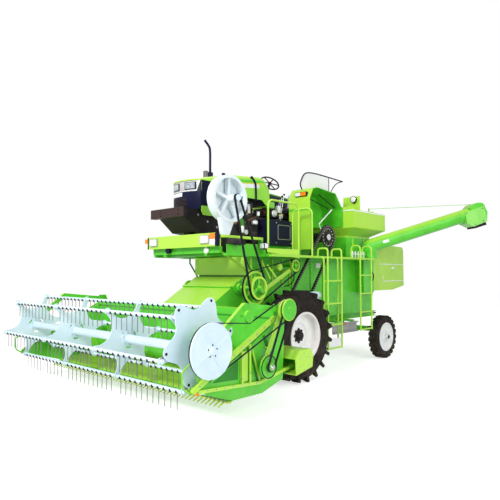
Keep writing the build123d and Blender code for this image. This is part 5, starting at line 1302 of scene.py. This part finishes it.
# Painted shade: dark green bars under the rail and beside the strip, and a dark triangle in the recess
shade_bars = (
    ((-2.95, 0.585), (-1.88, 1.143), 0.012, END_X, 2.200),
    ((-2.245, 0.85), (-2.115, 0.47), 0.008, END_X, 2.208),
    ((-1.99, 1.02), (-1.845, 0.76), 0.022, END_X, 2.206),
)
shade_plates = [flat_bar(*bar) for bar in shade_bars]
shade_plates += [plate((END_X, 2.212), (y - 0.006, y + 0.006), (0.50, 0.90), 0.002) for y in (-2.405, -2.295)]
shade_plates.append(outline_plate([(-2.90, 0.56), (-2.47, 0.77), (-2.47, 0.54)], END_X, 2.193, 0.001))
joined("end_painted_shade", shade_plates, deep_green, "header")
joined("auger_rim", [wall_ring(2.336, *AUGER_MIDDLE, 0.142, 0.007)], belt_rubber, "cross_auger")
strip = [flat_bar((-2.03, 0.76), (-1.775, 1.26), 0.034, 2.266, 2.280)]
strip += [round_bar((END_X, y, z), (2.268, y, z), 0.012, 12) for y, z in ((-1.97, 0.88), (-1.82, 1.17))]
joined("belt_strip", strip, bright_lime, "header")


# Camera, floor and light
CAMERA_SPOT = Vector((6.304, -7.675, 1.839))
AZIMUTH, PITCH = radians(42.734), radians(2.634)
SENSOR, PHOTO_WIDTH, FOCAL_PIXELS = 36, 500, 507.568


def put_camera():
    """The camera at the photograph's place."""
    data = bpy.data.cameras.new("camera")
    camera = placed("camera", data)
    bpy.context.scene.camera = camera
    data.sensor_width = SENSOR
    data.lens = FOCAL_PIXELS / PHOTO_WIDTH * SENSOR
    data.clip_start = 0.05
    data.clip_end = 200
    ahead = Vector((-sin(AZIMUTH) * cos(PITCH), cos(AZIMUTH) * cos(PITCH), sin(PITCH)))
    camera.location = CAMERA_SPOT
    camera.rotation_mode = "QUATERNION"
    camera.rotation_quaternion = ahead.to_track_quat("-Z", "Y")


def shaded(tree, kind, **values):
    """The output of a new shader node with its inputs set."""
    node = tree.nodes.new(kind)
    for socket, value in values.items():
        node.inputs[socket].default_value = value
    return node.outputs[0]


def join_shaders(tree, kind, *sources):
    """A node that joins shaders, its inputs wired in order."""
    node = tree.nodes.new(kind)
    for place, source in enumerate(sources):
        wire(tree.links, source, node.inputs[place])
    return node.outputs[0]


def shown_white(tree):
    """White to the camera and to mirrors and glass, and lit for everything else."""
    path = tree.nodes.new("ShaderNodeLightPath").outputs
    seen = math_node(tree, "MAXIMUM", path["Is Camera Ray"], path["Is Glossy Ray"])
    return math_node(tree, "MAXIMUM", seen, path["Is Transmission Ray"])


def put_world():
    """An even white world, plain white where it is seen."""
    world = bpy.data.worlds.new("studio")
    bpy.context.scene.world = world
    world.use_nodes = True
    tree = world.node_tree
    tree.nodes.clear()
    soft = shaded(tree, "ShaderNodeBackground", Color=(1, 1, 1, 1), Strength=0.47)
    white = shaded(tree, "ShaderNodeBackground", Color=(1, 1, 1, 1), Strength=1.0)
    pick = join_shaders(tree, "ShaderNodeMixShader", shown_white(tree), soft, white)
    wire(tree.links, pick, tree.nodes.new("ShaderNodeOutputWorld").inputs[0])


def put_floor():
    """A pale floor that keeps the harvester's shadow."""
    bpy.ops.mesh.primitive_plane_add(size=120, location=(0, 0, -0.001))
    floor = bpy.context.object
    floor.name = "floor"
    material = bpy.data.materials.new("floor")
    material.use_nodes = True
    tree = material.node_tree
    tree.nodes.clear()
    matt = shaded(tree, "ShaderNodeBsdfDiffuse", Color=(0.86, 0.86, 0.86, 1))
    both = join_shaders(tree, "ShaderNodeAddShader", matt, shaded(tree, "ShaderNodeEmission", Strength=0.60))
    pick = join_shaders(tree, "ShaderNodeMixShader", shown_white(tree), matt, both)
    wire(tree.links, pick, tree.nodes.new("ShaderNodeOutputMaterial").inputs[0])
    floor.data.materials.append(material)


def put_lamp(name, spot, aim, size, power):
    """A soft studio lamp."""
    data = bpy.data.lights.new(name, "AREA")
    data.size = size
    data.energy = power
    lamp = placed(name, data)
    lamp.location = spot
    lamp.rotation_mode = "QUATERNION"
    lamp.rotation_quaternion = (Vector(aim) - Vector(spot)).to_track_quat("-Z", "Y")


put_camera()
put_world()
put_floor()
put_lamp("key_lamp", (2.5, -12, 8), (0, 0, 1.5), 3, 1250)
put_lamp("side_lamp", (12, -2, 6), (0, 0, 1.5), 7, 640)
bpy.context.scene.view_settings.view_transform = "Standard"
